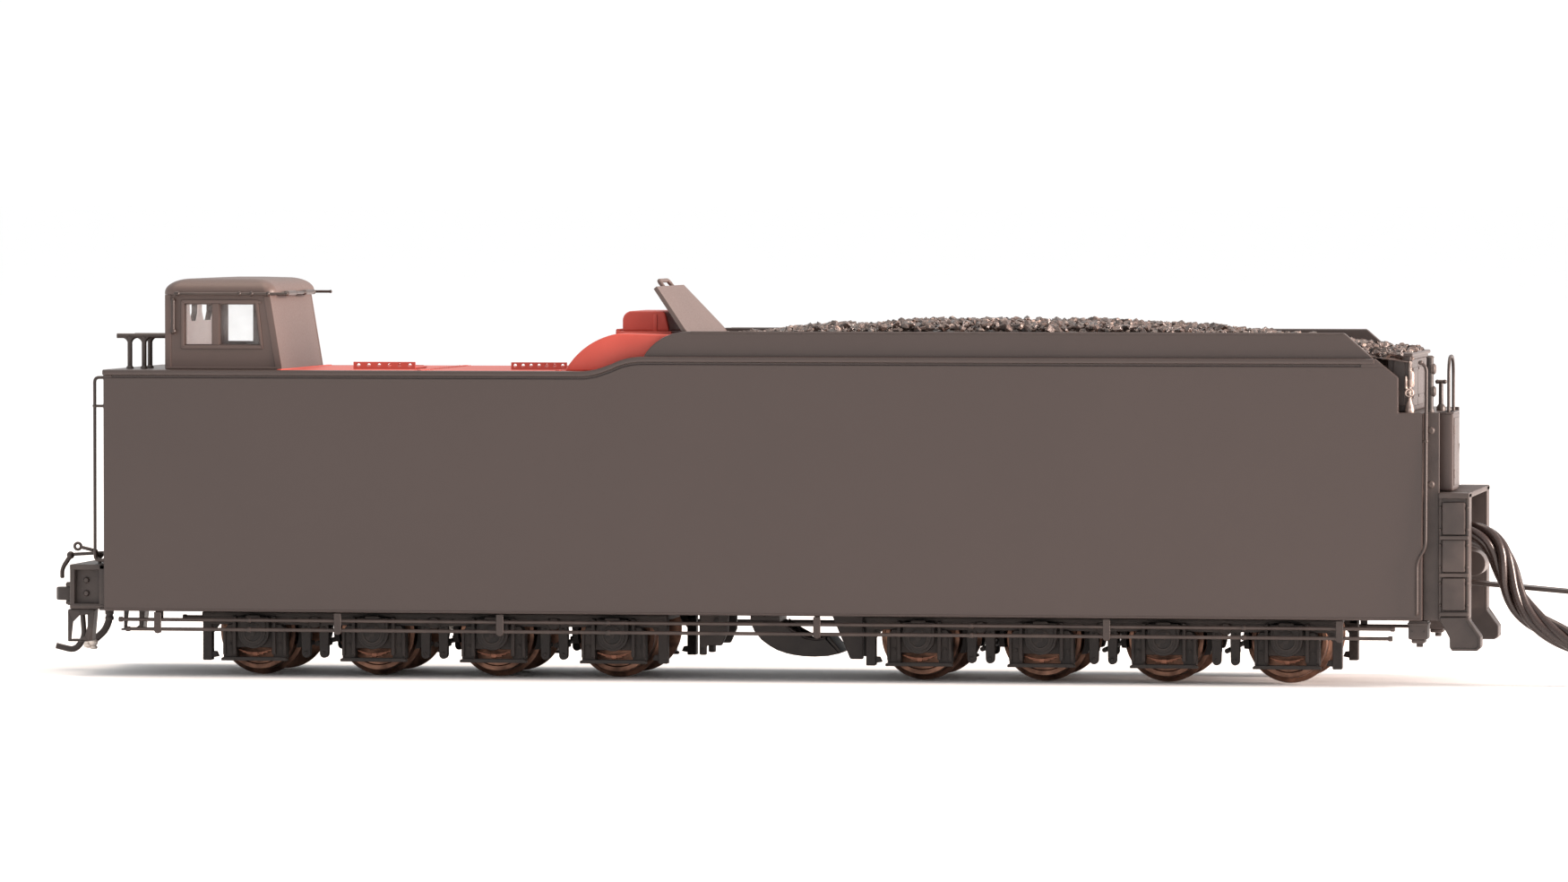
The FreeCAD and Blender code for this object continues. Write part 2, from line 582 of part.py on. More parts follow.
def side_pipes():
    """Two long train pipes in clamps below each side of the tank."""
    line = "-half_w + 0.65"
    upper = bar("0.26", "x", ("-88.3", line, "7.85"), "174.9")
    lower = bar("0.26", "x", ("-87.3", line, "6.55"), "173.6")
    clamps = []
    for x in (-82.8, -57.7, -35.2, 8.4, 47.8, 79.2):
        clamps.append(block((f"{x} - 0.55", f"{x} + 0.55"), (f"{line} - 0.45", f"{line} + 0.45"),
                            ("6.0", "skirt_z")))
    node("side_pipes", both_sides(fuse(upper, lower, *clamps)))


def water_scoop():
    """The curved scoop at mid length with its stem, and the two brackets either side of it."""
    spoon = pad("XZ_Plane", [
        ("-3.1", "7.6", "9.5"), ("1.2", "3.3", "14"), ("9.3", "3.1"), ("7.3", "5.4", "-7.5"), ("1.0", "7.6"),
    ], "-3.4", "3.4")
    stem = block(("-3.1", "1.0"), ("-3.4", "3.4"), ("7.6", "floor_z"))
    rear_arm = pad("XZ_Plane", [
        ("-10.0", "2.9"), ("-9.0", "2.9"), ("-9.0", "4.2"), ("-6.9", "4.2"), ("-6.0", "6.2"),
        ("-6.0", "floor_z"), ("-10.0", "floor_z"),
    ], "-4.2", "-3")
    front_arm = pad("XZ_Plane", [("10.9", "2.5"), ("12.7", "2.5"), ("12.7", "floor_z"), ("7.9", "floor_z"),
                                 ("7.9", "9.6")], "-4.2", "-3")
    tie = block(("-10.0", "12.7"), ("-4.2", "4.2"), ("floor_z - 1", "floor_z"))
    node("water_scoop", fuse(spoon, stem, rear_arm, mirrored(rear_arm), front_arm, mirrored(front_arm), tie))


# ---------------------------------------------------------------- rear end

def rear_end():
    """The end beam of channel section, steps, coupler pocket, lever, hose, handrails and ladder."""
    back = "-beam_back"
    front = "-tank_len / 2"
    web = block((f"{front} - 0.9", front), ("-17", "17"), ("skirt_z", "15.3"))
    flanges = [block((back, front), ("-17", "17"), (low, f"{low} + 0.8"))
               for low in ("skirt_z + 0.2", "14.5")]
    ribs = [block((back, front), (f"{y} - 0.3", f"{y} + 0.3"), ("skirt_z + 0.2", "15.3"))
            for y in (-15.4, -6, 6, 15.4)]
    rear_face = block((back, f"{back} + 0.7"), ("-17", "17"), ("skirt_z + 0.2", "15.3"))
    rivets = [bar("0.28", "y", (f"{back} + 2.1", "-15.9", z), "0.3") for z in ("11.3", "13.1")]
    far_rivets = [mirrored(rivet) for rivet in rivets]
    opening = block((f"{back} - 1", f"{front} + 0.5"), ("-3.2", "3.2"), ("skirt_z - 1", "13.1"))
    node("rear_end_beam", cut(fuse(web, rear_face, *flanges, *ribs, *rivets, *far_rivets), opening))

    loops = [rod("0.38", [("-95.0", y, "skirt_z + 0.13"), ("-95.3", y, "5.0"), ("-92.6", y, "5.0"),
                          ("-91.9", y, "skirt_z + 0.13")], 0.5) for y in ("-14.5", "-16.5")]
    tread = block(("-95.4", "-92.6"), ("-16.9", "-14.1"), ("4.8", "5.2"))
    stirrup = fuse(*loops, tread)
    node("rear_steps", both_sides(stirrup))

    box = block(("-96.0", "-88.6"), ("-3.1", "3.1"), ("coupler_z - 1.6", "floor_z"))
    cavity = block(("-97", "-89.2"), ("-2.4", "2.4"), ("coupler_z - 0.7 - play", "coupler_z + 0.7 + play"))
    pin = bar("0.8", "z", ("-91", "0", "coupler_z - 1.0"), "2")
    node("coupler_box", fuse(cut(box, cavity), pin))


def coupler():
    """A knuckle coupler: shank pivoted in its box, knuckle on an upright pin, and trip pin."""
    shank = pad("XY_Plane", [
        ("-99.5", "-0.9"), ("-92.6", "-0.9"), ("-91.9", "-1.7"), ("-90.1", "-1.7"), ("-89.5", "-1.1"),
        ("-89.5", "1.1"), ("-90.1", "1.7"), ("-91.9", "1.7"), ("-92.6", "0.9"), ("-99.5", "0.9"),
    ], "coupler_z - 0.7", "coupler_z + 0.7")
    hole = bar("0.8 + play", "z", ("-91", "0", "coupler_z - 2"), "4")
    head = pad("XY_Plane", [
        ("-98.2", "-1.5"), ("-97.4", "-0.9"), ("-97.4", "0.9"), ("-98.6", "2.4"), ("-100.6", "2.4"),
        ("-100.3", "1.2"), ("-99.4", "0.6"), ("-99.3", "-0.5"), ("-99.2", "-1.5"),
    ], "coupler_z - 1.4", "coupler_z + 1.4")
    pivot = bar("0.35", "z", ("-98.9", "-2.0", "coupler_z - 1.6"), "3.2")
    ears = [block(("-99.4", "-97.9"), ("-2.5", "-1.3"), (low, f"{low} + 0.5"))
            for low in ("coupler_z - 1.5", "coupler_z + 1.0")]
    node("coupler", cut(fuse(shank, head, pivot, *ears), hole))

    jaw = pad("XY_Plane", [
        ("-99.45", "-2.6"), ("-98.5", "-2.5"), ("-98.5", "-1.7"), ("-99.45", "-1.7"), ("-99.6", "-0.5"),
        ("-100.6", "-0.3"), ("-101.0", "-1.6"), ("-100.4", "-2.4"),
    ], "coupler_z - 1.0 + play", "coupler_z + 1.0 - play")
    jaw_hole = bar("0.35 + play", "z", ("-98.9", "-2.0", "coupler_z - 2"), "4")
    node("coupler_knuckle", cut(jaw, jaw_hole))

    trip = rod("0.45", [("-98.0", "1.2", "coupler_z - 1.4"), ("-97.5", "1.2", "4.2"), ("-98.9", "1.1", "2.25"),
                        ("-101.67", "0.9", "3.2")], 1.6)
    node("trip_pin", trip)


def rear_fittings():
    """Uncoupling lever, air hose, corner handrails, ladder, and the rails on the deck above it."""
    lever = rod("0.25", [("-94.2", "-15", "17.6"), ("-92.1", "-15", "17.1"), ("-92.1", "-14", "16.4"),
                         ("-92.1", "-1.5", "16.4"), ("-98.9", "-1.5", "16.0"), ("-100.1", "-1.5", "14.2"),
                         ("-100.1", "-1.5", "12.7")], 0.6)
    posts = [bar("0.25", "z", ("-92.1", y, "15.3"), "1.1") for y in ("-12.6", "-3.2")]
    eye = doc.addObject("Part::Torus", unique("torus"))
    eye.Placement = FreeCAD.Placement(Vector(), Rotation(Vector(1, 0, 0), 90))
    for side, formula in (("Radius1", "0.45"), ("Radius2", "0.22"), ("Placement.Base.x", "-94.6"),
                          ("Placement.Base.y", "-15"), ("Placement.Base.z", "17.7")):
        eye.setExpression(side, bound(formula))
    node("uncoupling_lever", fuse(lever, eye, *posts))

    hose = rod("0.5", [("-92.2", "-6.5", "skirt_z + 0.2"), ("-92.2", "-6.5", "7.2"), ("-92.8", "-6.8", "5.6"),
                       ("-94.4", "-7.4", "4.2")], 0.8)
    gland = bar("0.65", "z", ("-92.2", "-6.5", "skirt_z - 0.6"), "0.8")
    hand = block(("-95.6", "-93.6"), ("-8.3", "-6.6"), ("3.2", "4.9"))
    node("air_hose", fuse(hose, gland, hand))

    rail = rod("0.22", [("-tank_len / 2", "-16.8", "40.9"), ("-91.75", "-16.8", "40.9"),
                        ("-91.75", "-16.8", "15.9"), ("-tank_len / 2", "-16.8", "15.9")], 0.5)
    bracket = bar("0.2", "x", ("-91.75", "-16.8", "37.0"), "1.45")
    node("rear_handrails", both_sides(fuse(rail, bracket)))

    lines = ("-10", "-6")
    stiles = [rod("0.24", [("-tank_len / 2", y, "16.1"), ("-91.6", y, "16.1"), ("-91.6", y, "40.9"),
                           ("-tank_len / 2", y, "40.9")], 0.6) for y in lines]
    rungs = [bar("0.22", "y", ("-91.6", "-10", 18 + 3.6 * number), "4") for number in range(7)]
    feet = [bar("0.22", "x", ("-91.6", y, "30"), "1.3") for y in lines]
    node("rear_ladder", fuse(*stiles, *rungs, *feet))

    rails = []
    for y, start, posts in (("-10", "-90.2", ("-88.4", "-86.4")), ("-6", "-88.6", ("-86.5",))):
        hand_bar = bar("0.34", "x", (start, y, "46.5"), f"cabin_back - ({start})")
        legs = [bar("0.36", "z", (x, y, "deck_z"), "4.5") for x in posts]
        rails.append(fuse(hand_bar, *legs))
    node("deck_rails", group(*rails))


# ---------------------------------------------------------------- front end

def front_end():
    """End plate with its round-nosed buffer, steps, cabinet, handrails, valves, hose boxes, socket."""
    end = "tank_len / 2"
    plate = block((end, "step_x - 0.5"), ("-15.6", "15.6"), ("skirt_z", "shelf_z"))
    drawbar_slot = block((f"{end} - 1", "step_x + 1"), ("-7", "7"), ("skirt_z - 1", "16.4"))
    ribs = [block((end, "step_x"), (f"{y} - 0.4", f"{y} + 0.4"), ("skirt_z", "shelf_z"))
            for y in (-16, 16)]
    top = block(("step_x - 0.5", "step_front"), ("-13.3", "13.3"), ("step_top - 0.8", "step_top"))
    lower = block(("step_x - 0.5", "step_front - 2.2"), ("-13.3", "13.3"), ("16.4", "17.2"))
    buffer_root = block(("step_front - 2.4", "buffer_x"), ("-3.6", "3.6"), ("buffer_z - 1.7", "buffer_z + 1.7"))
    buffer_nose = bar("1.7", "y", ("buffer_x", "-3.6", "buffer_z"), "7.2")
    shell = cut(fuse(plate, *ribs, top, lower), drawbar_slot)
    node("front_end_frame", fuse(shell, buffer_root, buffer_nose))

    ladder = block(("step_x", "step_front"), ("-17.6", "-13.3"), ("skirt_z", "step_top"))
    recesses = [block(("step_x + 0.4", "step_front - 0.4"), ("-18", "-14.3"), (low, low + 4.4))
                for low in (10.4, 15.4, 20.4)]
    foot = pad("XZ_Plane", [
        ("step_x", "skirt_z"), ("step_front", "skirt_z"), ("98.1", "6.9"), ("98.1", "5.0"), ("93.9", "5.0"),
        ("93.9", "6.7"), ("step_x", "skirt_z - 0.1"),
    ], "-17.6", "-13.3")
    hollow = pad("XZ_Plane", [
        ("93.2", "skirt_z - 0.6"), ("96.1", "skirt_z - 0.6"), ("97.6", "6.6"), ("97.6", "5.7"), ("94.4", "5.7"),
        ("94.4", "7.0"),
    ], "-17.1", "-13.8")
    node("near_front_steps", cut(fuse(ladder, foot), *recesses, hollow))
    opposite("far_front_steps", "near_front_steps")

    cabinet = block(("step_x - 0.5", "94.2"), ("-13", "-3.6"), ("step_top", "shelf_z"))
    node("front_cabinet", cabinet)

    spindle = bar("0.35", "z", ("91.7", "-5.4", "shelf_z"), "3.8")
    collar = bar("0.6", "z", ("91.7", "-5.4", "shelf_z"), "0.6")
    grip = bar("0.28", "x", ("91.2", "-5.4", "shelf_z + 3.9"), "1.0")
    node("valve_handle", fuse(spindle, collar, grip))

    loop = rod("0.22", [("93.3", "-12.2", "shelf_z"), ("93.3", "-12.2", "44.2"), ("93.3", "-4.6", "44.2"),
                        ("93.3", "-4.6", "shelf_z")], 2.6)
    side = rod("0.24", [
        ("90.0", "-17.6", "43.6"), (f"{end} + 0.45", "-17.6", "42.8"), (f"{end} + 0.45", "-18.5", "18.8"),
        ("89.6", "-18.5", "16.9"), ("89.6", "-18.5", "9.9"), ("89.6", "-half_w", "9.9"),
    ], 0.8)
    tie = bar("0.2", "y", ("90.0", "-17.6", "43.4"), "3.6")
    far_side = rod("0.24", [
        (end, "17.6", "35.8"), (f"{end} + 0.45", "17.6", "35.8"), (f"{end} + 0.45", "18.5", "18.8"),
        ("89.6", "18.5", "16.9"), ("89.6", "18.5", "9.9"), ("89.6", "half_w", "9.9"),
    ], 0.8)
    node("front_handrails", group(loop, fuse(side, tie), far_side))

    pipe = rod("0.42", [("88.3", "-14.9", "shelf_z"), ("88.3", "-14.9", "41.0"), ("88.3", "-14.3", "43.6"),
                        ("88.3", "-13.9", "43.6")], 0.5)
    wheel = bar("0.8", "y", ("88.3", "-15.6", "39.4"), "0.9")
    foot_nut = bar("0.75", "z", ("88.3", "-14.9", "shelf_z"), "0.9")
    post = bar("0.5", "z", ("91.0", "-14.6", "shelf_z"), "7.6")
    knobs = [bar("0.75", "x", ("91.0", "-14.6", z), "0.95") for z in ("39.6", "42.6")]
    node("front_valves", group(fuse(pipe, wheel, foot_nut), fuse(post, *knobs)))

    case = block(("88.2", "91.0"), ("-16.6", "-12.6"), ("5.9", "skirt_z"))
    drain = bar("0.45", "z", ("89.7", "-14.6", "5.35"), "0.6")
    node("hose_boxes", both_sides(fuse(case, drain)))


def drawbar():
    """A flat bar pivoted under the front of the tender, bent down towards its hole for the pin."""
    low = "bar_z - bar_drop"
    strip = pad("XZ_Plane", [
        ("bar_pivot", "bar_z"), ("90", "bar_z"), ("bar_hook - 4", low), ("bar_hook", low),
        ("bar_hook", f"{low} + bar_thick"), ("bar_hook - 4", f"{low} + bar_thick"), ("90", "bar_z + bar_thick"),
        ("bar_pivot", "bar_z + bar_thick"),
    ], "-2", "2")
    eyes = [bar("3", "z", ("bar_pivot", "0", "bar_z"), "bar_thick"),
            bar("2.6", "z", ("bar_hook", "0", low), "bar_thick")]
    pivot_hole = bar("king_rad + play", "z", ("bar_pivot", "0", "bar_z - 1"), "3")
    pin_hole = bar("pin_rad", "z", ("bar_hook", "0", f"{low} - 1"), "3")
    node("drawbar", cut(fuse(strip, *eyes), pivot_hole, pin_hole))


# ---------------------------------------------------------------- trucks

def truck_side(middle):
    """The near side frame of a truck: top rail, pedestals, journal boxes, tie bars, brake gear."""
    outer = ("-frame_out", "-frame_in")
    parts = [block((f"{middle} - frame_half", f"{middle} + frame_half"), outer, ("6.9", "frame_top"))]
    for number in (-1.5, -0.5, 0.5, 1.5):
        axle = f"{middle} + {number} * axle_gap"
        parts.append(block((f"{axle} - 4.4", f"{axle} + 4.4"), outer, ("3.9", "6.9")))
        for x in (-4.4, 2.5):
            parts.append(block((f"{axle} + {x}", f"{axle} + {x + 1.9}"), outer, ("tie_z", "3.9")))
        parts.append(block((f"{axle} - 4.6", f"{axle} + 4.6"), ("-frame_out - 0.3", "-frame_out + 0.7"),
                           ("tie_z", "tie_z + 0.5")))
        parts.append(block((f"{axle} - 1.9", f"{axle} + 1.9"), ("-journal_out", "-frame_in"),
                           ("flange_rad", "8.3")))
        parts.append(bar("1.9", "y", (axle, "-journal_out", "flange_rad"), "journal_out - frame_in"))
        parts.append(bar("0.4", "y", (axle, "-journal_out - 0.2", "flange_rad"), "0.4"))
        for x in (-2.7, 2.1):
            parts.append(block((f"{axle} + {x}", f"{axle} + {x + 0.6}"), ("-frame_out - 0.5", "-frame_out"),
                               ("3.0", "8.0")))
    for number in (-2, -1, 0, 1, 2):
        gap = f"{middle} + {number} * axle_gap"
        offsets = {-2: (1.6,), 2: (-1.6,)}.get(number, (-1.25, 1.25))
        for x in offsets:
            parts.append(block((f"{gap} + {x - 0.65}", f"{gap} + {x + 0.65}"), ("-12.6", "-frame_in"),
                               ("3.0", "7.2")))
            parts.append(bar("0.65", "y", (f"{gap} + {x}", "-12.6", "3.0"), "1.7"))
    bores = [bar("journal_rad + play", "y",
                 (f"{middle} + {number} * axle_gap", "-journal_end - play", "flange_rad"), "4")
             for number in (-1.5, -0.5, 0.5, 1.5)]
    return cut(fuse(*parts), *bores)


def truck(name, middle):
    """One four-axle truck: frame with cross beams, two sides, bronze strips and four wheelsets."""
    node(f"{name}_near_side", truck_side(middle))
    opposite(f"{name}_far_side", f"{name}_near_side")

    spine = block((f"{middle} - 2 * axle_gap + 2.2", f"{middle} + 2 * axle_gap - 2.2"), ("-5.4", "5.4"),
                  ("7.5", "9.6"))
    pad_top = bar("4", "z", (middle, "0", "9.6"), "floor_z - 9.6 - play")
    beams = [block((f"{middle} + {number} * axle_gap - 1.4", f"{middle} + {number} * axle_gap + 1.4"),
                   ("-frame_in", "frame_in"), ("7.5", "9.6")) for number in (-1, 0, 1)]
    screw_way = bar("king_rad + play", "z", (middle, "0", "6"), "8")
    node(f"{name}_frame", cut(fuse(spine, pad_top, *beams), screw_way))

    strips = []
    for number in (-1.5, -0.5, 0.5, 1.5):
        axle = f"{middle} + {number} * axle_gap"
        strips.append(pad("XZ_Plane", [
            (f"{axle} - 2.5", "3.5"), (f"{axle} - 1.9", "3.5", "3.6"), (f"{axle} + 1.9", "3.5"),
            (f"{axle} + 2.5", "3.5"), (f"{axle} + 2.5", "3.85"), (f"{axle} + 1.9", "3.85", "-3.6"),
            (f"{axle} - 1.9", "3.85"), (f"{axle} - 2.5", "3.85"),
        ], "-12.8", "-11.8"))
    node(f"{name}_springs", both_sides(group(*strips)))

    for number in range(4):
        wheelset(f"{name}_wheelset_{number + 1}", f"{middle} + {number - 1.5} * axle_gap")


def wheelset(name, x):
    """An axle with two flanged wheels, turned in one piece about its own line."""
    half = [
        ("journal_rad", "journal_end"), ("journal_rad", "10.6"), ("1.7", "10.6"), ("1.7", "9.4"),
        ("4.2", "9.4"), ("4.4", "wheel_half"), ("tread_rad - 0.1", "wheel_half"),
        ("tread_rad + 0.05", "7.95"), ("flange_rad - 0.1", "7.75"), ("flange_rad", "7.55"),
        ("flange_rad - 0.1", "7.35"), ("5.3", "back_half"), ("axle_rad", "back_half"),
    ]
    lower = [(radius, f"-1 * ({y})") for radius, y in reversed(half)]
    body = turned("XY_Plane", [("0", "journal_end")] + half + lower + [("0", "-journal_end")])
    body.setExpression("Placement.Base.x", bound(x))
    body.setExpression("Placement.Base.z", bound("flange_rad"))
    node(name, body)


# ---------------------------------------------------------------- tether

TETHER_Y = "-8.5"
TETHER_ROUTE = [
    ("92.6", TETHER_Y, "20.5"), ("95.1", TETHER_Y, "20.5"), ("97.9", TETHER_Y, "20.0"),
    ("99.7", TETHER_Y, "18.2"), ("100.7", TETHER_Y, "15.7"), ("101.6", TETHER_Y, "12.9"),
    ("103.2", "-8.6", "10.1"), ("105.7", "-8.8", "7.9"), ("109.2", "-9.2", "6.3"),
    ("113.4", "-9.7", "4.7"), ("118.0", "-9.9", "3.0"), ("123.2", "-9.4", "1.9"),
    ("128.8", "-8.2", "1.85"), ("134.4", "-6.4", "1.85"), ("139.6", "-4.9", "1.85"),
]


def tether():
    """The bundle of thin wires to the engine, its socket in the end plate and its plug."""
    socket = block(("step_x - 0.5", "92.6"), ("-11.6", "-5.4"), ("18.2", "22.8"))
    node("tether_socket", socket)

    points = [Vector(*(size_of(formula) for formula in point)) for point in TETHER_ROUTE]
    radii = bend_radii(points)
    piece = rod("tether_rad", TETHER_ROUTE)
    node("tether", piece)
    length = path_of(points, radii).Length
    expected = math.pi * size_of("tether_rad") ** 2 * length
    print("tether arcs", [round(radius, 1) for radius in radii], "length", round(length, 1),
          "volume over section times length", round(piece.Shape.Volume / expected, 4))

    last, before = points[-1], points[-2]
    heading = math.degrees(math.atan2(last.y - before.y, last.x - before.x))
    shell = Part.makeBox(8.5, 6.4, 2.6, Vector(0, -3.2, 0))
    ridge = Part.makeBox(5.0, 2.2, 0.5, Vector(2.0, -1.1, 2.6))
    neck = Part.makeBox(1.6, 4.0, 3.3, Vector(0, -2.0, 0))
    plug = doc.addObject("Part::Feature", unique("plug"))
    plug.Shape = shell.fuse([ridge, neck]).removeSplitter()
    plug.Placement = FreeCAD.Placement(Vector(0, last.y, 0.05), Rotation(Vector(0, 0, 1), heading))
    plug.setExpression("Placement.Base.x", bound(TETHER_ROUTE[-1][0]))
    node("tether_plug", plug)


# ---------------------------------------------------------------- assembly

tank()
bunker()
cabin()
underframe()
cargo()
side_pipes()
water_scoop()
rear_end()
coupler()
rear_fittings()
front_end()
drawbar()
truck("rear_truck", "truck_back_x")
truck("front_truck", "truck_front_x")
tether()
doc.recompute()

problems = []
for item in doc.Objects:
    if "Invalid" in item.State or "Error" in item.State:
        problems.append(f"{item.Name} has state {item.State}")
for name, piece in nodes.items():
    if piece.Shape.isNull() or not piece.Shape.isValid() or not piece.Shape.Solids:
        problems.append(f"{name} has no valid solid")
if problems:
    raise SystemExit("\n".join(problems))

os.makedirs("parts", exist_ok=True)
whole = FreeCAD.BoundBox()
for name, piece in nodes.items():
    piece.Shape.exportStep(f"parts/{name}.step")
    if name not in ("tether", "tether_plug"):
        whole.add(piece.Shape.BoundBox)
print(len(nodes), "sub-parts; whole without the tether:", whole)
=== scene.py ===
import math

import bmesh
import bpy
import numpy as np
from mathutils import Matrix, Vector


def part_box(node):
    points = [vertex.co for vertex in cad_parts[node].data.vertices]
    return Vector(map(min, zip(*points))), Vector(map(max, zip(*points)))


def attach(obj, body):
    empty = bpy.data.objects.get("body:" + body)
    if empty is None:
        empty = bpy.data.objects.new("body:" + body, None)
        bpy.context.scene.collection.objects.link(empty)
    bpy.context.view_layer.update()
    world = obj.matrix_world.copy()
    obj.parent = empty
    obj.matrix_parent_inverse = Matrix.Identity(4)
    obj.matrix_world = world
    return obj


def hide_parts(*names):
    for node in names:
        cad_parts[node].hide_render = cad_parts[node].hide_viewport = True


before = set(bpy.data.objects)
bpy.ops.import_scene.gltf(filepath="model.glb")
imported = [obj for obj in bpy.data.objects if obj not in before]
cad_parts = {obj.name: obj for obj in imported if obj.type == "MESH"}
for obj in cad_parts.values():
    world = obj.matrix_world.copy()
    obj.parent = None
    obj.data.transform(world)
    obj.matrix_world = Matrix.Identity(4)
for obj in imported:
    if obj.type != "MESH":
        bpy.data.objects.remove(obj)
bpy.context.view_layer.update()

# A 1:87 steam locomotive tender.  Shapes are drawn in millimetres from the tank's middle,
# +X to the engine, +Z up, and moved into the frame, in metres, when a piece is made.

MM = 0.001
TANK_MIDDLE = sum(corner.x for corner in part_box("tank_shell")) / 2
TO_FRAME = Matrix.Translation((TANK_MIDDLE, 0, 0)) @ Matrix.Scale(MM, 4)
draws = np.random.default_rng(11)


def box_of(node):
    """A CAD node's lowest and highest corner in millimetres from the tank's middle."""
    return [Vector(((corner.x - TANK_MIDDLE) / MM, corner.y / MM, corner.z / MM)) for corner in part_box(node)]


# ---------------------------------------------------------------- camera, light and floor

LENS = 203.4
CAMERA_PLACE = (0.1839, -1.199, 0.0668)
CAMERA_TURN, CAMERA_TILT = 9.06, 1.635
SURROUNDINGS = 1.03
AIM = Vector((0, 0, 0.03))
FLOOR_HALF, FLOOR_DROP = 30.0, 0.00005

# Each lamp's name, place, width, power and colour.
LAMPS = (("key", (1.2, -0.09, 0.3), 0.45, 46.0, (1.0, 0.8, 0.71)),
         ("top", (-0.1, 0.1, 1.3), 0.8, 9.0, (1.0, 0.78, 0.64)))


def camera_and_light():
    """A long lens level with the tank, white surroundings, two large soft lamps and a pale floor."""
    lens = bpy.data.cameras.new("camera")
    lens.lens = LENS
    lens.clip_end = 100
    camera = bpy.data.objects.new("camera", lens)
    camera.location = CAMERA_PLACE
    camera.rotation_euler = (math.radians(90 - CAMERA_TILT), 0, math.radians(CAMERA_TURN))
    bpy.context.scene.collection.objects.link(camera)
    bpy.context.scene.camera = camera
    bpy.context.scene.view_settings.view_transform = "Standard"

    world = bpy.data.worlds.new("studio")
    world.use_nodes = True
    background = world.node_tree.nodes["Background"]
    background.inputs["Color"].default_value = (1.0, 1.0, 1.0, 1)
    background.inputs["Strength"].default_value = SURROUNDINGS
    bpy.context.scene.world = world

    for name, place, size, power, colour in LAMPS:
        data = bpy.data.lights.new(name, "AREA")
        data.size = size
        data.energy = power
        data.color = colour
        lamp = bpy.data.objects.new(name, data)
        lamp.location = place
        lamp.rotation_euler = (AIM - Vector(place)).to_track_quat("-Z", "Y").to_euler()
        bpy.context.scene.collection.objects.link(lamp)

    mesh = bpy.data.meshes.new("floor")
    corners = [(x * FLOOR_HALF, y * FLOOR_HALF, 0) for x, y in ((-1, -1), (1, -1), (1, 1), (-1, 1))]
    mesh.from_pydata(corners, [], [(0, 1, 2, 3)])
    floor = bpy.data.objects.new("floor", mesh)
    floor.location.z = -FLOOR_DROP
    bpy.context.scene.collection.objects.link(floor)
    mesh.materials.append(plain("floor_card", (0.97, 0.97, 0.97), rough=0.8, blotch=0.01, blotch_size=60,
                                grain=0.01))


# ---------------------------------------------------------------- finishes

def srgb(red, green, blue):
    """A display colour from 0 to 255 as the linear colour that a shader takes."""
    values = [value / 255 for value in (red, green, blue)]
    return tuple(v / 12.92 if v < 0.04045 else ((v + 0.055) / 1.055) ** 2.4 for v in values)


class Tree:
    """A material's nodes, with short calls for the ones used here."""

    def __init__(self, name):
        self.material = bpy.data.materials.new(name)
        self.material.use_nodes = True
        self.nodes = self.material.node_tree.nodes
        self.links = self.material.node_tree.links
        self.shader = self.nodes["Principled BSDF"]
        self.place = self.nodes.new("ShaderNodeTexCoord").outputs["Object"]

    def put(self, value, socket):
        """Links a socket or sets a value, a colour given its alpha."""
        if isinstance(value, bpy.types.NodeSocket):
            self.links.new(value, socket)
        elif isinstance(value, tuple):
            socket.default_value = (*value, 1) if len(socket.default_value) == 4 else value
        else:
            socket.default_value = value

    def noise(self, size, detail, stretch=(1, 1, 1)):
        """Noise whose spots are about size millimetres across."""
        mapping = self.nodes.new("ShaderNodeMapping")
        mapping.inputs["Scale"].default_value = [1 / (value * size * MM) for value in stretch]
        self.links.new(self.place, mapping.inputs["Vector"])
        node = self.nodes.new("ShaderNodeTexNoise")
        node.inputs["Scale"].default_value = 1.0
        node.inputs["Detail"].default_value = detail
        self.links.new(mapping.outputs["Vector"], node.inputs["Vector"])
        return node.outputs["Fac"]

    def cells(self, size):
        """The distance to the middle of the nearest of many cells about size millimetres across."""
        mapping = self.nodes.new("ShaderNodeMapping")
        mapping.inputs["Scale"].default_value = [1 / (size * MM)] * 3
        self.links.new(self.place, mapping.inputs["Vector"])
        node = self.nodes.new("ShaderNodeTexVoronoi")
        node.inputs["Scale"].default_value = 1.0
        self.links.new(mapping.outputs["Vector"], node.inputs["Vector"])
        return node.outputs["Distance"]

    def spread(self, value, low, high, to_low=0.0, to_high=1.0):
        """The value moved from one range to another and held inside it."""
        node = self.nodes.new("ShaderNodeMapRange")
        for name, number in (("From Min", low), ("From Max", high), ("To Min", to_low), ("To Max", to_high)):
            node.inputs[name].default_value = number
        self.put(value, node.inputs["Value"])
        return node.outputs["Result"]

    def maths(self, operation, first, second):
        node = self.nodes.new("ShaderNodeMath")
        node.operation = operation
        self.put(first, node.inputs[0])
        self.put(second, node.inputs[1])
        return node.outputs[0]

    def mix(self, share, first, second):
        node = self.nodes.new("ShaderNodeMix")
        node.data_type = "RGBA"
        self.put(share, node.inputs["Factor"])
        self.put(first, node.inputs["A"])
        self.put(second, node.inputs["B"])
        return node.outputs["Result"]

    def bump(self, height, depth):
        """A bump of that depth in millimetres."""
        node = self.nodes.new("ShaderNodeBump")
        node.inputs["Distance"].default_value = depth * MM
        self.put(height, node.inputs["Height"])
        self.links.new(node.outputs["Normal"], self.shader.inputs["Normal"])

    def facing_up(self):
        """1 on faces that look up, 0 on the others."""
        split = self.nodes.new("ShaderNodeSeparateXYZ")
        self.links.new(self.nodes.new("ShaderNodeNewGeometry").outputs["Normal"], split.inputs[0])
        return self.spread(split.outputs["Z"], 0.5, 0.95)

    def edges(self):
        """1 on outer edges, 0 on flat faces."""
        return self.spread(self.nodes.new("ShaderNodeNewGeometry").outputs["Pointiness"], 0.52, 0.6)


def shade(colour, factor):
    """The colour made lighter or darker by a factor."""
    return tuple(min(1.0, value * factor) for value in colour)


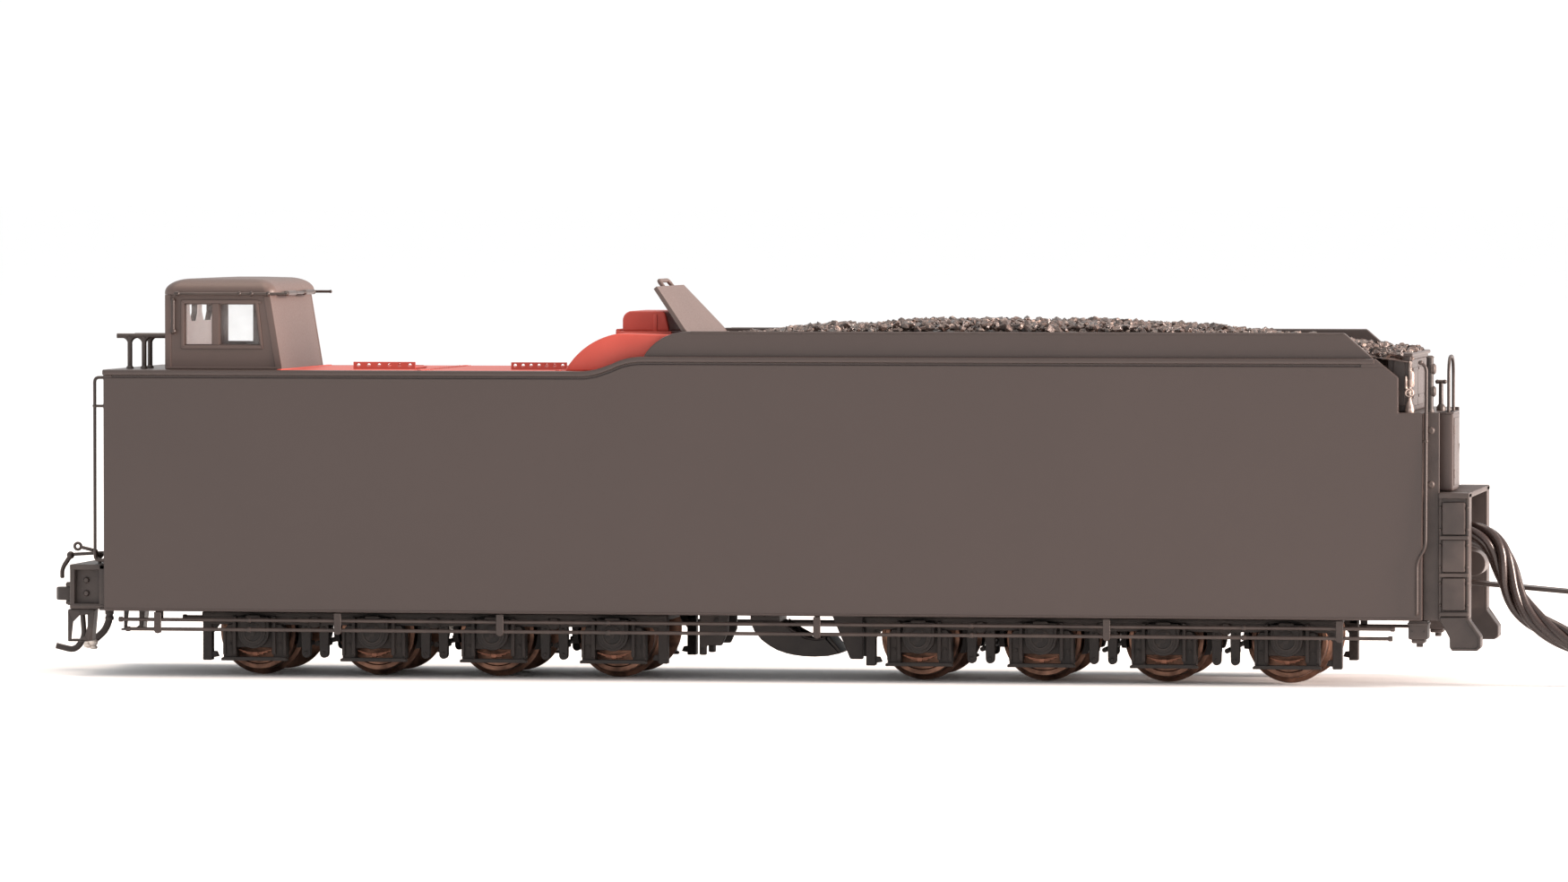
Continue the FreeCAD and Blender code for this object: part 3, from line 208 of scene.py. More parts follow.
def plain(name, colour, rough=0.5, metal=0.0, blotch=0.12, blotch_size=9.0, grain=0.02, grain_size=0.22,
          dust=0.0, dust_colour=(0.25, 0.21, 0.18), edge=0.0, edge_highlight_colour=None):
    """A finish with soft blotches, a fine grain, dust on what faces up and paler edges, painted on as
    highlights.
    """
    tree = Tree(name)
    fine = tree.noise(grain_size, 4.0)
    broad = tree.noise(blotch_size, 3.0)
    mixed = tree.maths("ADD", tree.maths("MULTIPLY", broad, 0.75), tree.maths("MULTIPLY", fine, 0.25))
    tone = tree.mix(tree.spread(mixed, 0.3, 0.7), shade(colour, 1 - blotch), shade(colour, 1 + blotch))
    # Paler colour along the edges is a painted highlight.
    if edge:
        edge_highlight = tree.maths("MULTIPLY", tree.edges(), tree.spread(broad, 0.3, 0.7, 0.3 * edge, edge))
        tone = tree.mix(edge_highlight, tone, edge_highlight_colour or shade(colour, 2.2))
    if dust:
        settled = tree.maths("MULTIPLY", tree.facing_up(),
                             tree.spread(tree.noise(2.5, 5.0), 0.35, 0.7, 0, dust))
        tone = tree.mix(settled, tone, dust_colour)
    tree.put(tone, tree.shader.inputs["Base Color"])
    tree.put(tree.spread(fine, 0.3, 0.7, max(0.05, rough - 0.07), min(1, rough + 0.07)),
             tree.shader.inputs["Roughness"])
    tree.shader.inputs["Metallic"].default_value = metal
    tree.bump(fine, grain)
    return tree.material


def coal_finish():
    """Broken coal: near black, glassy on some faces and dull on others, with pale spots painted on as glints.
    """
    tree = Tree("coal")
    lump = tree.cells(1.1)
    fine = tree.noise(0.25, 6.0)
    tone = tree.mix(tree.spread(lump, 0.1, 0.9), srgb(34, 24, 21), srgb(84, 66, 58))
    # The pale spots are painted glints, standing in for light caught by the lumps.
    tone = tree.mix(tree.spread(tree.noise(0.9, 4.0), 0.6, 0.7, 0, 0.75), tone, srgb(196, 172, 158))
    tree.put(tone, tree.shader.inputs["Base Color"])
    tree.put(tree.spread(tree.noise(1.3, 4.0), 0.35, 0.65, 0.12, 0.62), tree.shader.inputs["Roughness"])
    tree.shader.inputs["Specular IOR Level"].default_value = 0.8
    tree.bump(fine, 0.12)
    return tree.material


def wheel_finish():
    """Turned bronze-toned nickel with fine rings of machining and darker tarnish."""
    tree = Tree("wheel_metal")
    rings = tree.noise(0.12, 2.0, stretch=(14, 1, 14))
    tarnish = tree.noise(2.2, 4.0)
    tone = tree.mix(tree.spread(tarnish, 0.35, 0.7), srgb(130, 98, 82), srgb(58, 42, 35))
    tree.put(tone, tree.shader.inputs["Base Color"])
    tree.shader.inputs["Metallic"].default_value = 0.9
    tree.put(tree.spread(rings, 0.3, 0.7, 0.28, 0.46), tree.shader.inputs["Roughness"])
    tree.bump(rings, 0.02)
    return tree.material


def board_finish():
    """Green solder resist with tracks under it."""
    tree = Tree("board")
    tracks = tree.spread(tree.noise(1.6, 0.0, stretch=(6, 0.5, 1)), 0.52, 0.54)
    tone = tree.mix(tracks, srgb(20, 70, 42), srgb(38, 104, 62))
    tree.put(tone, tree.shader.inputs["Base Color"])
    tree.shader.inputs["Roughness"].default_value = 0.3
    tree.shader.inputs["Coat Weight"].default_value = 0.4
    tree.bump(tracks, 0.03)
    return tree.material


def glass_finish():
    """Thin clear styrene with a faint haze."""
    tree = Tree("glazing")
    haze = tree.noise(3.0, 4.0)
    tree.put(tree.mix(haze, (0.93, 0.92, 0.91), (1.0, 1.0, 1.0)), tree.shader.inputs["Base Color"])
    tree.put(tree.spread(haze, 0.3, 0.7, 0.02, 0.09), tree.shader.inputs["Alpha"])
    tree.shader.inputs["Roughness"].default_value = 0.08
    return tree.material


PAINT = plain("tank_paint", srgb(60, 50, 47), rough=0.4, blotch=0.04, blotch_size=24, grain=0.01,
              grain_size=0.2)
# A lighter copy of the tank paint for the cabin and the slanted bunker plate: painted light, standing in for
# the sheen and stronger light on them.
PAINT_LIT_COPY = plain("tank_paint_lit_copy", srgb(84, 69, 64), rough=0.5, blotch=0.05, blotch_size=8, grain=0.014,
              grain_size=0.2)
# Where a finish below sets edge, its edges get a paler, painted highlight.
RED = plain("red_paint", srgb(178, 62, 48), rough=0.5, blotch=0.07, blotch_size=6, grain=0.014,
            grain_size=0.2, dust=0.12, dust_colour=srgb(205, 120, 105), edge=0.3,
            edge_highlight_colour=srgb(205, 112, 98))
COAL = coal_finish()
BLACK = plain("black_plastic", srgb(31, 25, 24), rough=0.5, blotch=0.12, blotch_size=4, grain=0.014,
              grain_size=0.15, edge=0.4, edge_highlight_colour=srgb(110, 96, 90))
# The trucks' near-black plastic, made darker still than the other black plastic as painted shade for the dim
# space under the tender.
TRUCK_PLASTIC_SHADED = plain("truck_plastic", srgb(22, 18, 17), rough=0.7, blotch=0.15, blotch_size=3, grain=0.02,
              grain_size=0.14, dust=0.1, dust_colour=srgb(80, 66, 58), edge=0.3,
              edge_highlight_colour=srgb(70, 58, 52))
WIRE = plain("black_wire", srgb(40, 30, 27), rough=0.4, blotch=0.1, blotch_size=3, grain=0.008,
             grain_size=0.1, edge=0.2, edge_highlight_colour=srgb(120, 104, 96))
INNER = plain("cabin_inside_painted_glow", srgb(240, 226, 220), rough=0.6, blotch=0.05, blotch_size=5, grain=0.01)
# A faint glow on the pale lining is painted light, standing in for light that reaches the cabin's inside.
lining_glow_shader = INNER.node_tree.nodes["Principled BSDF"]
lining_glow_shader.inputs["Emission Color"].default_value = (*srgb(235, 215, 210), 1)
lining_glow_shader.inputs["Emission Strength"].default_value = 0.3
GLASS = glass_finish()
WHEEL = wheel_finish()
WEB = plain("wheel_web", srgb(30, 24, 22), rough=0.5, blotch=0.2, blotch_size=2, grain=0.02)
BRONZE = plain("bronze", srgb(120, 82, 66), rough=0.4, metal=0.8, blotch=0.2, blotch_size=1.5, grain=0.01)
WEIGHT = plain("weight_metal", srgb(140, 138, 136), rough=0.45, metal=0.9, blotch=0.15, blotch_size=5,
               grain=0.05, grain_size=0.5)
BOARD = board_finish()
SPEAKER = plain("speaker_case", srgb(46, 46, 50), rough=0.5, blotch=0.08, blotch_size=5, grain=0.02)
STEEL = plain("screw_steel", srgb(170, 166, 160), rough=0.3, metal=0.95, blotch=0.08, blotch_size=1.5,
              grain=0.006, grain_size=0.1)
VALVE = plain("valve_metal", srgb(176, 160, 152), rough=0.35, metal=0.6, blotch=0.45, blotch_size=0.7,
              grain=0.03)
HOSE = plain("hose_rubber", srgb(60, 52, 50), rough=0.6, blotch=0.1, blotch_size=1.5, grain=0.02)
GLAD = plain("gladhand_metal", srgb(214, 204, 196), rough=0.4, metal=0.5, blotch=0.12, blotch_size=0.8,
             grain=0.02)
RUBBER = plain("wire_rubber", srgb(44, 33, 30), rough=0.26, blotch=0.12, blotch_size=4, grain=0.006,
               grain_size=0.12)
PLUG = plain("plug_plastic", srgb(38, 34, 33), rough=0.4, blotch=0.08, blotch_size=3, grain=0.012)


# ---------------------------------------------------------------- shapes

def soften(shape, width, segments=2, angle=28):
    """Rounds every edge of a shape that turns by more than the angle."""
    shape.normal_update()
    sharp = [e for e in shape.edges if len(e.link_faces) == 2 and e.calc_face_angle(0) > math.radians(angle)]
    if width > 0 and sharp:
        bmesh.ops.bevel(shape, geom=sharp, offset=width, segments=segments, profile=0.5, affect="EDGES",
                        clamp_overlap=True)
    return shape


def block(x, y, z, edge=0.1):
    """A box with rounded edges between two places along each axis."""
    shape = bmesh.new()
    bmesh.ops.create_cube(shape, size=1)
    spans = [high - low for low, high in (x, y, z)]
    middle = Vector([(low + high) / 2 for low, high in (x, y, z)])
    bmesh.ops.transform(shape, matrix=Matrix.Translation(middle) @ Matrix.Diagonal((*spans, 1)),
                        verts=shape.verts)
    return soften(shape, min(edge, min(spans) * 0.4))


AXES = {"x": (1, 2, 0), "y": (0, 2, 1), "z": (0, 1, 2)}


def prism(outline, axis, low, high, edge=0.1, angle=28):
    """The outline, drawn across an axis, between two places along it, with rounded edges.
    Across x the outline is (y, z), across y it is (x, z) and across z it is (x, y)."""
    shape = bmesh.new()
    first, second, along = AXES[axis]

    def corner(point, depth):
        place = [0.0, 0.0, 0.0]
        place[first], place[second], place[along] = point[0], point[1], depth
        return shape.verts.new(place)

    start = shape.faces.new([corner(point, low) for point in outline])
    stretched = bmesh.ops.extrude_face_region(shape, geom=[start])
    moved = [v for v in stretched["geom"] if isinstance(v, bmesh.types.BMVert)]
    push = [0.0, 0.0, 0.0]
    push[along] = high - low
    bmesh.ops.translate(shape, vec=push, verts=moved)
    bmesh.ops.recalc_face_normals(shape, faces=shape.faces)
    return soften(shape, edge, angle=angle)


def arc(centre, radius, start, end, count=10):
    """Points on an arc between two angles in degrees."""
    return [(centre[0] + radius * math.cos(math.radians(a)), centre[1] + radius * math.sin(math.radians(a)))
            for a in np.linspace(start, end, count)]


def around(count):
    """Angles evenly spaced about a full turn."""
    return np.linspace(0, math.tau, count, endpoint=False)


def circle(centre, radius, count):
    """Points on an upright circle that faces sideways."""
    return [Vector(centre) + radius * Vector((math.cos(a), 0, math.sin(a))) for a in around(count)]


def about(middle, reach):
    """The two places at a distance to either side of a middle."""
    return middle - reach, middle + reach


def along_route(route, bend):
    """The route's points with each inner corner rounded."""
    points = [Vector(point) for point in route]
    path = [points[0]]
    for before, here, after in zip(points, points[1:], points[2:]):
        reach = min(bend, 0.45 * (here - before).length, 0.45 * (after - here).length)
        start = here + (before - here).normalized() * reach
        end = here + (after - here).normalized() * reach
        for share in np.linspace(0, 1, 6):
            path.append(start.lerp(here, share).lerp(here.lerp(end, share), share))
    path.append(points[-1])
    return path


def sweep(path, radius, sides=12, closed=False):
    """A round tube along points, without twist."""
    shape = bmesh.new()
    count = len(path)
    rings = []
    normal = None
    for index, point in enumerate(path):
        ahead = path[(index + 1) % count] if closed or index + 1 < count else point
        behind = path[index - 1] if closed or index else point
        tangent = (ahead - behind).normalized()
        if normal is None:
            normal = tangent.orthogonal().normalized()
        normal = (normal - tangent * normal.dot(tangent)).normalized()
        side = tangent.cross(normal)
        size = radius[index] if isinstance(radius, list) else radius
        rings.append([shape.verts.new(point + size * (normal * math.cos(t) + side * math.sin(t)))
                      for t in around(sides)])
    pairs = list(zip(rings, rings[1:])) + ([(rings[-1], rings[0])] if closed else [])
    for here, there in pairs:
        for k in range(sides):
            shape.faces.new((here[k], here[(k + 1) % sides], there[(k + 1) % sides], there[k]))
    if not closed:
        shape.faces.new(list(reversed(rings[0])))
        shape.faces.new(rings[-1])
    return shape


def rod(route, radius, bend=0.8, sides=12):
    """A round wire or pipe along a route of a few points."""
    return sweep(along_route(route, bend), radius, sides)


DIRECTIONS = {"x": Vector((1, 0, 0)), "y": Vector((0, 1, 0)), "z": Vector((0, 0, 1)),
              "-x": Vector((-1, 0, 0)), "-y": Vector((0, -1, 0)), "-z": Vector((0, 0, -1))}


def turned(profile, base, axis="z", sides=24):
    """A shape turned about a line: the profile's points are (radius, place along the line)."""
    shape = bmesh.new()
    rings = []
    for radius, height in profile:
        count = 1 if radius < 1e-6 else sides
        rings.append([shape.verts.new((radius * math.cos(t), radius * math.sin(t), height))
                      for t in around(count)])
    for low, high in zip(rings, rings[1:]):
        for k in range(sides):
            ring = [low[k % len(low)], low[(k + 1) % len(low)], high[(k + 1) % len(high)],
                    high[k % len(high)]]
            corners = list(dict.fromkeys(ring))
            if len(corners) > 2:
                shape.faces.new(corners)
    if len(rings[0]) > 1:
        shape.faces.new(list(reversed(rings[0])))
    if len(rings[-1]) > 1:
        shape.faces.new(rings[-1])
    turn = DIRECTIONS[axis].to_track_quat("Z", "Y").to_matrix().to_4x4()
    bmesh.ops.transform(shape, matrix=Matrix.Translation(base) @ turn, verts=shape.verts)
    bmesh.ops.recalc_face_normals(shape, faces=shape.faces)
    return shape


def rivet(place, axis, radius, height):
    """A round rivet head."""
    return turned([(radius, 0), (radius * 0.92, height * 0.5), (radius * 0.6, height * 0.9), (0, height)],
                  place, axis, 10)


def bolt(place, axis, radius, height):
    """A hexagon bolt head on a washer."""
    return turned([(radius * 1.35, 0), (radius * 1.35, height * 0.25), (radius, height * 0.25),
                   (radius, height * 0.9), (radius * 0.8, height), (0, height)], place, axis, 6)


def ball(place, radius, stretch=(1, 1, 1)):
    """A ball, or an egg where it is stretched."""
    shape = bmesh.new()
    bmesh.ops.create_uvsphere(shape, u_segments=16, v_segments=10, radius=radius)
    bmesh.ops.transform(shape, matrix=Matrix.Translation(place) @ Matrix.Diagonal((*stretch, 1)),
                        verts=shape.verts)
    return shape


def mirrored(shapes):
    """The same shapes on the tender's other side."""
    flipped = []
    for shape in shapes:
        twin = shape.copy()
        bmesh.ops.scale(twin, vec=(1, -1, 1), verts=twin.verts)
        bmesh.ops.reverse_faces(twin, faces=twin.faces)
        flipped.append(twin)
    return flipped


def ring(outer, inner, axis, low, high, edge):
    """A flat frame: the outer outline less the inner one, both with the same number of corners."""
    shapes = []
    for index in range(len(outer)):
        following = (index + 1) % len(outer)
        side = [outer[index], outer[following], inner[following], inner[index]]
        shapes.append(prism(side, axis, low, high, edge))
    return shapes


def both(shapes):
    """The near side's shapes with the far side's."""
    return shapes + mirrored(shapes)


def piece(name, body, groups, replaces=(), sharp=32):
    """One object from groups of (finish, shapes), riding on a body."""
    whole = bmesh.new()
    mesh = bpy.data.meshes.new(name)
    for number, (finish, shapes) in enumerate(groups):
        mesh.materials.append(finish)
        for shape in shapes:
            for face in shape.faces:
                face.material_index = number
            part = bpy.data.meshes.new("part")
            shape.to_mesh(part)
            shape.free()
            whole.from_mesh(part)
            bpy.data.meshes.remove(part)
    bmesh.ops.transform(whole, matrix=TO_FRAME, verts=whole.verts)
    for face in whole.faces:
        face.smooth = True
    whole.to_mesh(mesh)
    whole.free()
    mesh.set_sharp_from_angle(angle=math.radians(sharp))
    made = bpy.data.objects.new(name, mesh)
    bpy.context.scene.collection.objects.link(made)
    weighted = made.modifiers.new("flat faces", "WEIGHTED_NORMAL")
    weighted.keep_sharp = True
    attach(made, body)
    if replaces:
        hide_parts(*replaces)
    return made


camera_and_light()


# ---------------------------------------------------------------- tether

TETHER_ROUTE = [
    (92.6, -8.5, 20.5), (95.1, -8.5, 20.5), (97.9, -8.5, 20.0), (99.7, -8.5, 18.2), (100.7, -8.5, 15.7),
    (101.6, -8.5, 12.9), (103.2, -8.6, 10.1), (105.7, -8.8, 7.9), (109.2, -9.2, 6.3), (113.4, -9.7, 4.7),
    (118.0, -9.9, 3.0), (123.2, -9.4, 1.9), (128.8, -8.2, 1.85), (134.4, -6.4, 1.85), (139.6, -4.9, 1.85),
]
STRANDS = 6
STRAND_RADIUS, CORE_RADIUS = 0.6, 0.5
LAY_LENGTH = 26
SOCKET_RING = 1.02


def tether_line():
    """Points on the smooth line of the tether, in the frame."""
    curve = bpy.data.curves.new("tether_line", "CURVE")
    curve.dimensions = "3D"
    spline = curve.splines.new("NURBS")
    spline.points.add(len(TETHER_ROUTE) - 1)
    for point, place in zip(spline.points, TETHER_ROUTE):
        point.co = (*(TO_FRAME @ Vector(place)), 1)
    spline.order_u = 3
    spline.use_endpoint_u = True
    spline.resolution_u = 10
    holder = bpy.data.objects.new("tether_line", curve)
    line = bpy.data.meshes.new_from_object(holder)
    points = [vertex.co.copy() for vertex in line.vertices]
    bpy.data.objects.remove(holder)
    bpy.data.meshes.remove(line)
    return points


def strand(path, number):
    """One wire of the bundle: it winds slowly about the bundle's line and wanders a little."""
    tangent = (path[1] - path[0]).normalized()
    normal = Vector((0, 0, 1))
    travelled = 0.0
    points = []
    phase = draws.uniform(0, 2 * math.pi)
    for index, point in enumerate(path):
        if index:
            travelled += (point - path[index - 1]).length
            tangent = (path[min(index + 1, len(path) - 1)] - path[index - 1]).normalized()
        normal = (normal - tangent * normal.dot(tangent)).normalized()
        side = tangent.cross(normal)
        turns = number / STRANDS + travelled / LAY_LENGTH
        angle = 2 * math.pi * turns + 0.35 * math.sin(travelled / 7 + phase)
        out = 1.06 + 0.12 * math.sin(travelled / 5 + 2 * phase)
        points.append(point + out * (normal * math.cos(angle) + side * math.sin(angle)))
    return sweep(points, STRAND_RADIUS, 12)


def tether():
    """The bundle of wires with its socket in the end plate and its plug."""
    line = tether_line()
    path = [TO_FRAME.inverted() @ point for point in line]
    wires = [strand(path, number) for number in range(STRANDS)] + [sweep(path, CORE_RADIUS, 10)]
    bundle = piece("tether_wires", "tender", [(RUBBER, wires)], ["tether"], sharp=60)

    before, end = Vector(TETHER_ROUTE[-2]), Vector(TETHER_ROUTE[-1])
    heading = math.atan2(end.y - before.y, end.x - before.x)
    turn = Matrix.Translation((end.x, end.y, 0.05)) @ Matrix.Rotation(heading, 4, "Z")
    housing = [block((0, 8.5), (-3.2, 3.2), (0, 2.6), 0.3), block((2, 7), (-1.1, 1.1), (2.4, 3.1), 0.15),
               block((0.02, 1.6), (-2, 2), (2.3, 3.28), 0.25)]
    housing += [block((7.2, 8.45), about(y, 0.1), (2.45, 2.75), 0.04) for y in (-2.4, -1.6, 1.6, 2.4)]
    pins = [block((8.3, 8.5), about(y, 0.28), (0.7, 1.5), 0.06) for y in (-2.2, -1.1, 0, 1.1, 2.2)]
    for shape in housing + pins:
        bmesh.ops.transform(shape, matrix=turn, verts=shape.verts)
    plug = piece("plug_housing", "tender", [(PLUG, housing), (VALVE, pins)], ["tether_plug"])

    low, high = box_of("tether_socket")
    middle = (low + high) / 2
    case = [block((low.x, high.x - 0.12), (low.y, high.y), (low.z, high.z), 0.2)]
    case += [block((high.x - 0.3, high.x), (low.y + 0.5, high.y - 0.5), (low.z + 0.4, high.z - 0.4), 0.15)]
    grommets = []
    for angle in around(STRANDS):
        y, z = middle.y + SOCKET_RING * math.cos(angle), middle.z + SOCKET_RING * math.sin(angle)
        grommets.append(turned([(0.72, 0), (0.72, 0.25), (0.56, 0.4)], (high.x - 0.4, y, z), "x", 14))
    piece("tether_outlet", "tender", [(PLUG, case), (RUBBER, grommets)], ["tether_socket"])
    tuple(line[0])


tether()


# ---------------------------------------------------------------- coal

def lump_forms(count):
    """A few angular lumps as (points, faces), each the hull of scattered points."""
    forms = []
    for _ in range(count):
        shape = bmesh.new()
        for _ in range(13):
            point = draws.normal(size=3)
            reach = draws.uniform(0.8, 1.0) * np.array((1, 0.85, 0.7))
            shape.verts.new(point / np.linalg.norm(point) * reach)
        hull = bmesh.ops.convex_hull(shape, input=shape.verts)
        bmesh.ops.delete(shape, geom=[v for v in hull["geom_interior"] if isinstance(v, bmesh.types.BMVert)],
                         context="VERTS")
        shape.verts.index_update()
        points = np.array([v.co for v in shape.verts])
        forms.append((points, [[v.index for v in face.verts] for face in shape.faces]))
        shape.free()
    return forms


LUMP_GAP_X, LUMP_GAP_Y = 0.98, 1.02
LARGEST_LUMP = 1.15
CROWN = 0.5
HEAP_TOP = ((-9.5, 46.1), (-1.5, 46.8), (8, 47.8), (12, 47.6), (21, 48.4), (45, 48.3), (57, 47.8),
            (67, 46.9), (73, 46.3), (80, 45.6), (84.5, 45.0), (88, 44.6))


def heap_height(x):
    """The heap's top along the bunker: low behind, full in the middle, running down to the gate."""
    return np.interp(x, *zip(*HEAP_TOP))


def coal():
    """A heap of separate broken lumps on a rough bed."""
    low, high = box_of("coal_load")
    points, faces = [], []
    forms = lump_forms(14)
    for x in np.arange(low.x + 0.7, high.x - 0.5, LUMP_GAP_X):
        for y in np.arange(low.y + 0.6, high.y - 0.4, LUMP_GAP_Y):
            form, sides = forms[draws.integers(len(forms))]
            size = min(draws.lognormal(-0.44, 0.28), LARGEST_LUMP)
            spin = np.array(Matrix.Rotation(draws.uniform(0, math.tau), 3, "Z")
                            @ Matrix.Rotation(draws.uniform(0, math.tau), 3, "X"))
            place = np.array((x + draws.uniform(-0.45, 0.45), y + draws.uniform(-0.45, 0.45), 0))
            crown = CROWN * (1 - (place[1] / high.y) ** 2)
            place[2] = heap_height(place[0]) + crown - 0.45 + draws.uniform(-0.35, 0.35)
            start = len(points)
            points.extend(form @ spin.T * size + place)
            faces.extend([[start + corner for corner in side] for side in sides])
    mesh = bpy.data.meshes.new("lumps")
    mesh.from_pydata([tuple(point) for point in points], [], faces)
    lumps = bmesh.new()
    lumps.from_mesh(mesh)
    bpy.data.meshes.remove(mesh)
    bed = bmesh.new()
    bmesh.ops.create_grid(bed, x_segments=90, y_segments=30, size=0.5)
    for vertex in bed.verts:
        x = low.x + (vertex.co.x + 0.5) * (high.x - low.x)
        y = vertex.co.y * (high.y - low.y)
        vertex.co = (x, y, heap_height(x) - 0.9 + draws.uniform(-0.2, 0.2))
    piece("coal_lumps", "tender", [(COAL, [lumps, bed])], ["coal_load"], sharp=12)


coal()


# ---------------------------------------------------------------- trucks

AXLE_GAP = 16.65
AXLE_PLACES = (-1.5, -0.5, 0.5, 1.5)
AXLE_Z = 5.95
SIDE_HALF_LENGTH = 32.35
SIDE_FACE, SIDE_BACK = -12.6, -10.95


def wheel_half(x):
    """One wheel and half its axle, on the near side."""
    base = (x, 0, AXLE_Z)
    rim = turned([(4.35, 7.2), (5.3, 7.2), (5.86, 7.35), (5.95, 7.55), (5.86, 7.75), (5.36, 7.92),
                  (5.28, 8.0), (5.15, 9.9), (5.05, 10.0), (4.5, 10.0), (4.35, 9.8)], base, "-y", 64)
    web = turned([(4.4, 7.5), (4.36, 9.75), (4.2, 9.55), (3.4, 9.35), (2.3, 9.4), (1.9, 9.6), (1.75, 10.3),
                  (1.6, 10.5), (0.6, 10.55)], base, "-y", 48)
    back = turned([(1.9, 7.3), (4.4, 7.55)], base, "-y", 48)
    axle = turned([(1.0, 0), (1.0, 7.0), (1.25, 7.3), (1.25, 7.6)], base, "-y", 24)
    journal = turned([(0.6, 10.4), (0.6, 12.6), (0.3, 13.1), (0, 13.2)], base, "-y", 16)
    ports = [turned([(0.5, 9.3), (0.42, 9.48), (0.3, 9.3)], place, "-y", 12)
             for place in circle(base, 3.0, 6)]
    return [rim, axle, journal], [web, back] + ports


def wheelset(truck_name, number, x):
    metal, dark = wheel_half(x)
    piece(f"{truck_name}_wheels_{number}", f"{truck_name}_axle_{number}",
          [(WHEEL, both(metal)), (WEB, both(dark))], [f"{truck_name}_wheelset_{number}"])


def journal_box(x):
    """The axle box on the side frame: a U-shaped housing, its lid with a raised ring, and a bolt."""
    outer = arc((x, AXLE_Z), 2.15, 180, 360, 14) + [(x + 2.15, 8.15), (x - 2.15, 8.15)]
    inner = arc((x, AXLE_Z), 1.75, 180, 360, 14) + [(x + 1.75, 7.9), (x - 1.75, 7.9)]
    lid = [(1.35, 0), (1.35, 0.12), (1.15, 0.16), (1.1, 0.06), (0, 0.06)]
    return [prism(outer, "y", -13.9, -12.2, 0.18, 20),
            prism(inner, "y", -14.15, -13.8, 0.12, 20),
            turned(lid, (x, -14.12, AXLE_Z), "-y", 28),
            bolt((x, -14.1, AXLE_Z), "-y", 0.42, 0.22),
            block(about(x, 0.9), (-14.1, -13.3), (8.0, 8.4), 0.1),
            rod([(x - 1.0, -13.95, 8.2), (x + 1.0, -13.95, 8.2)], 0.16)]


def pedestal(x):
    """The guides on either side of an axle box, the slot under it and the tie bar."""
    guides = [(-4.4, 2.5), (-2.6, 2.5), (-2.6, 3.9), (2.6, 3.9), (2.6, 2.5), (4.4, 2.5), (4.4, 6.2),
              (3.7, 7.1), (-3.7, 7.1), (-4.4, 6.2)]
    bar = [(-4.6, 2.1), (4.6, 2.1), (4.6, 2.45), (4.2, 2.62), (-4.2, 2.62), (-4.6, 2.45)]
    shapes = [prism([(x + u, z) for u, z in guides], "y", -12.9, SIDE_BACK, 0.16),
              prism([(x + u, z) for u, z in bar], "y", -13.5, -12.3, 0.1)]
    ribs = [block(about(x + side * 2.75, 0.25), (-13.45, -12.8), (3.0, 8.2), 0.12)
            for side in (-1, 1)]
    flanges = [block(about(x + side * 4.2, 0.2), (-13.25, -12.8), (2.9, 6.4), 0.1)
               for side in (-1, 1)]
    bolts = [bolt((x + side * 3.5, -12.9, z), "-y", 0.24, 0.2) for side in (-1, 1) for z in (4.4, 6.0)]
    return shapes + ribs + flanges + bolts


def brake(gap_x, offsets):
    """Hangers between two wheels with their shoes facing the treads."""
    shapes = []
    for offset in offsets:
        x = gap_x + offset
        hanger = [(x + 0.6, 3.1), (x + 0.68, 6.4), (x + 0.45, 8.0), (x - 0.45, 8.0), (x - 0.68, 6.4),
                  (x - 0.6, 3.1)]
        shapes.append(prism(arc((x, 3.1), 0.6, 180, 360, 9)[1:-1] + hanger, "y", -12.45, -11.3, 0.14, 20))
        shapes.append(rivet((x, -12.42, 3.2), "-y", 0.3, 0.2))
        shapes.append(rivet((x, -12.42, 6.6), "-y", 0.26, 0.2))
        shapes.append(block(about(x, 0.35), (-11.4, -8.2), (4.1, 4.7), 0.12))
        wheel_x = gap_x + math.copysign(AXLE_GAP / 2, offset)
        facing = 0 if offset < 0 else 180
        curve = arc((wheel_x, AXLE_Z), 5.5, facing - 24, facing + 14, 8)
        back = arc((wheel_x, AXLE_Z), 6.25, facing + 12, facing - 20, 8)
        shapes.append(prism(curve + back, "y", -9.8, -8.1, 0.08, 35))
    return shapes


def end_post(x, way):
    """The post at a truck's end with its slanted brace and a lug at its foot."""
    brace = [(x + way * 0.5, 7.6), (x + way * 0.5, 5.6), (x + way * 2.0, 7.6)]
    lug = [(x - way * 0.6, 3.4), (x - way * 0.6, 2.2), (x + way * 1.5, 2.6), (x + way * 1.2, 3.3)]
    return [block(about(x, 0.65), (-12.55, SIDE_BACK), (2.1, 8.4), 0.15),
            prism(brace, "y", -12.2, -11.2, 0.1),
            prism(lug, "y", -12.3, -11.3, 0.1)]


def truck_side(middle):
    """Everything cast into one side frame, on the near side."""
    low, high = middle - SIDE_HALF_LENGTH, middle + SIDE_HALF_LENGTH
    shapes = [block((low, high), (SIDE_FACE, SIDE_BACK), (7.0, 8.7), 0.2),
              block((low, high), (-13.05, -12.4), (8.2, 8.75), 0.12)]
    for number in AXLE_PLACES:
        x = middle + number * AXLE_GAP
        shapes += pedestal(x) + journal_box(x)
    for number in (-1, 0, 1):
        gap_x = middle + number * AXLE_GAP
        shapes += brake(gap_x, (-1.25, 1.25))
        shapes += [rivet((gap_x + x, SIDE_FACE, 7.7), "-y", 0.26, 0.18) for x in (-2.6, 0, 2.6)]
        shapes.append(turned([(0.9, 0), (0.9, 0.5), (0.7, 0.7), (0, 0.7)], (gap_x, -12.4, 7.5), "-y", 20))
    for number in (-2, 2):
        shapes += end_post(middle + number * AXLE_GAP - math.copysign(1.6, number),
                           -math.copysign(1, number))
    return shapes


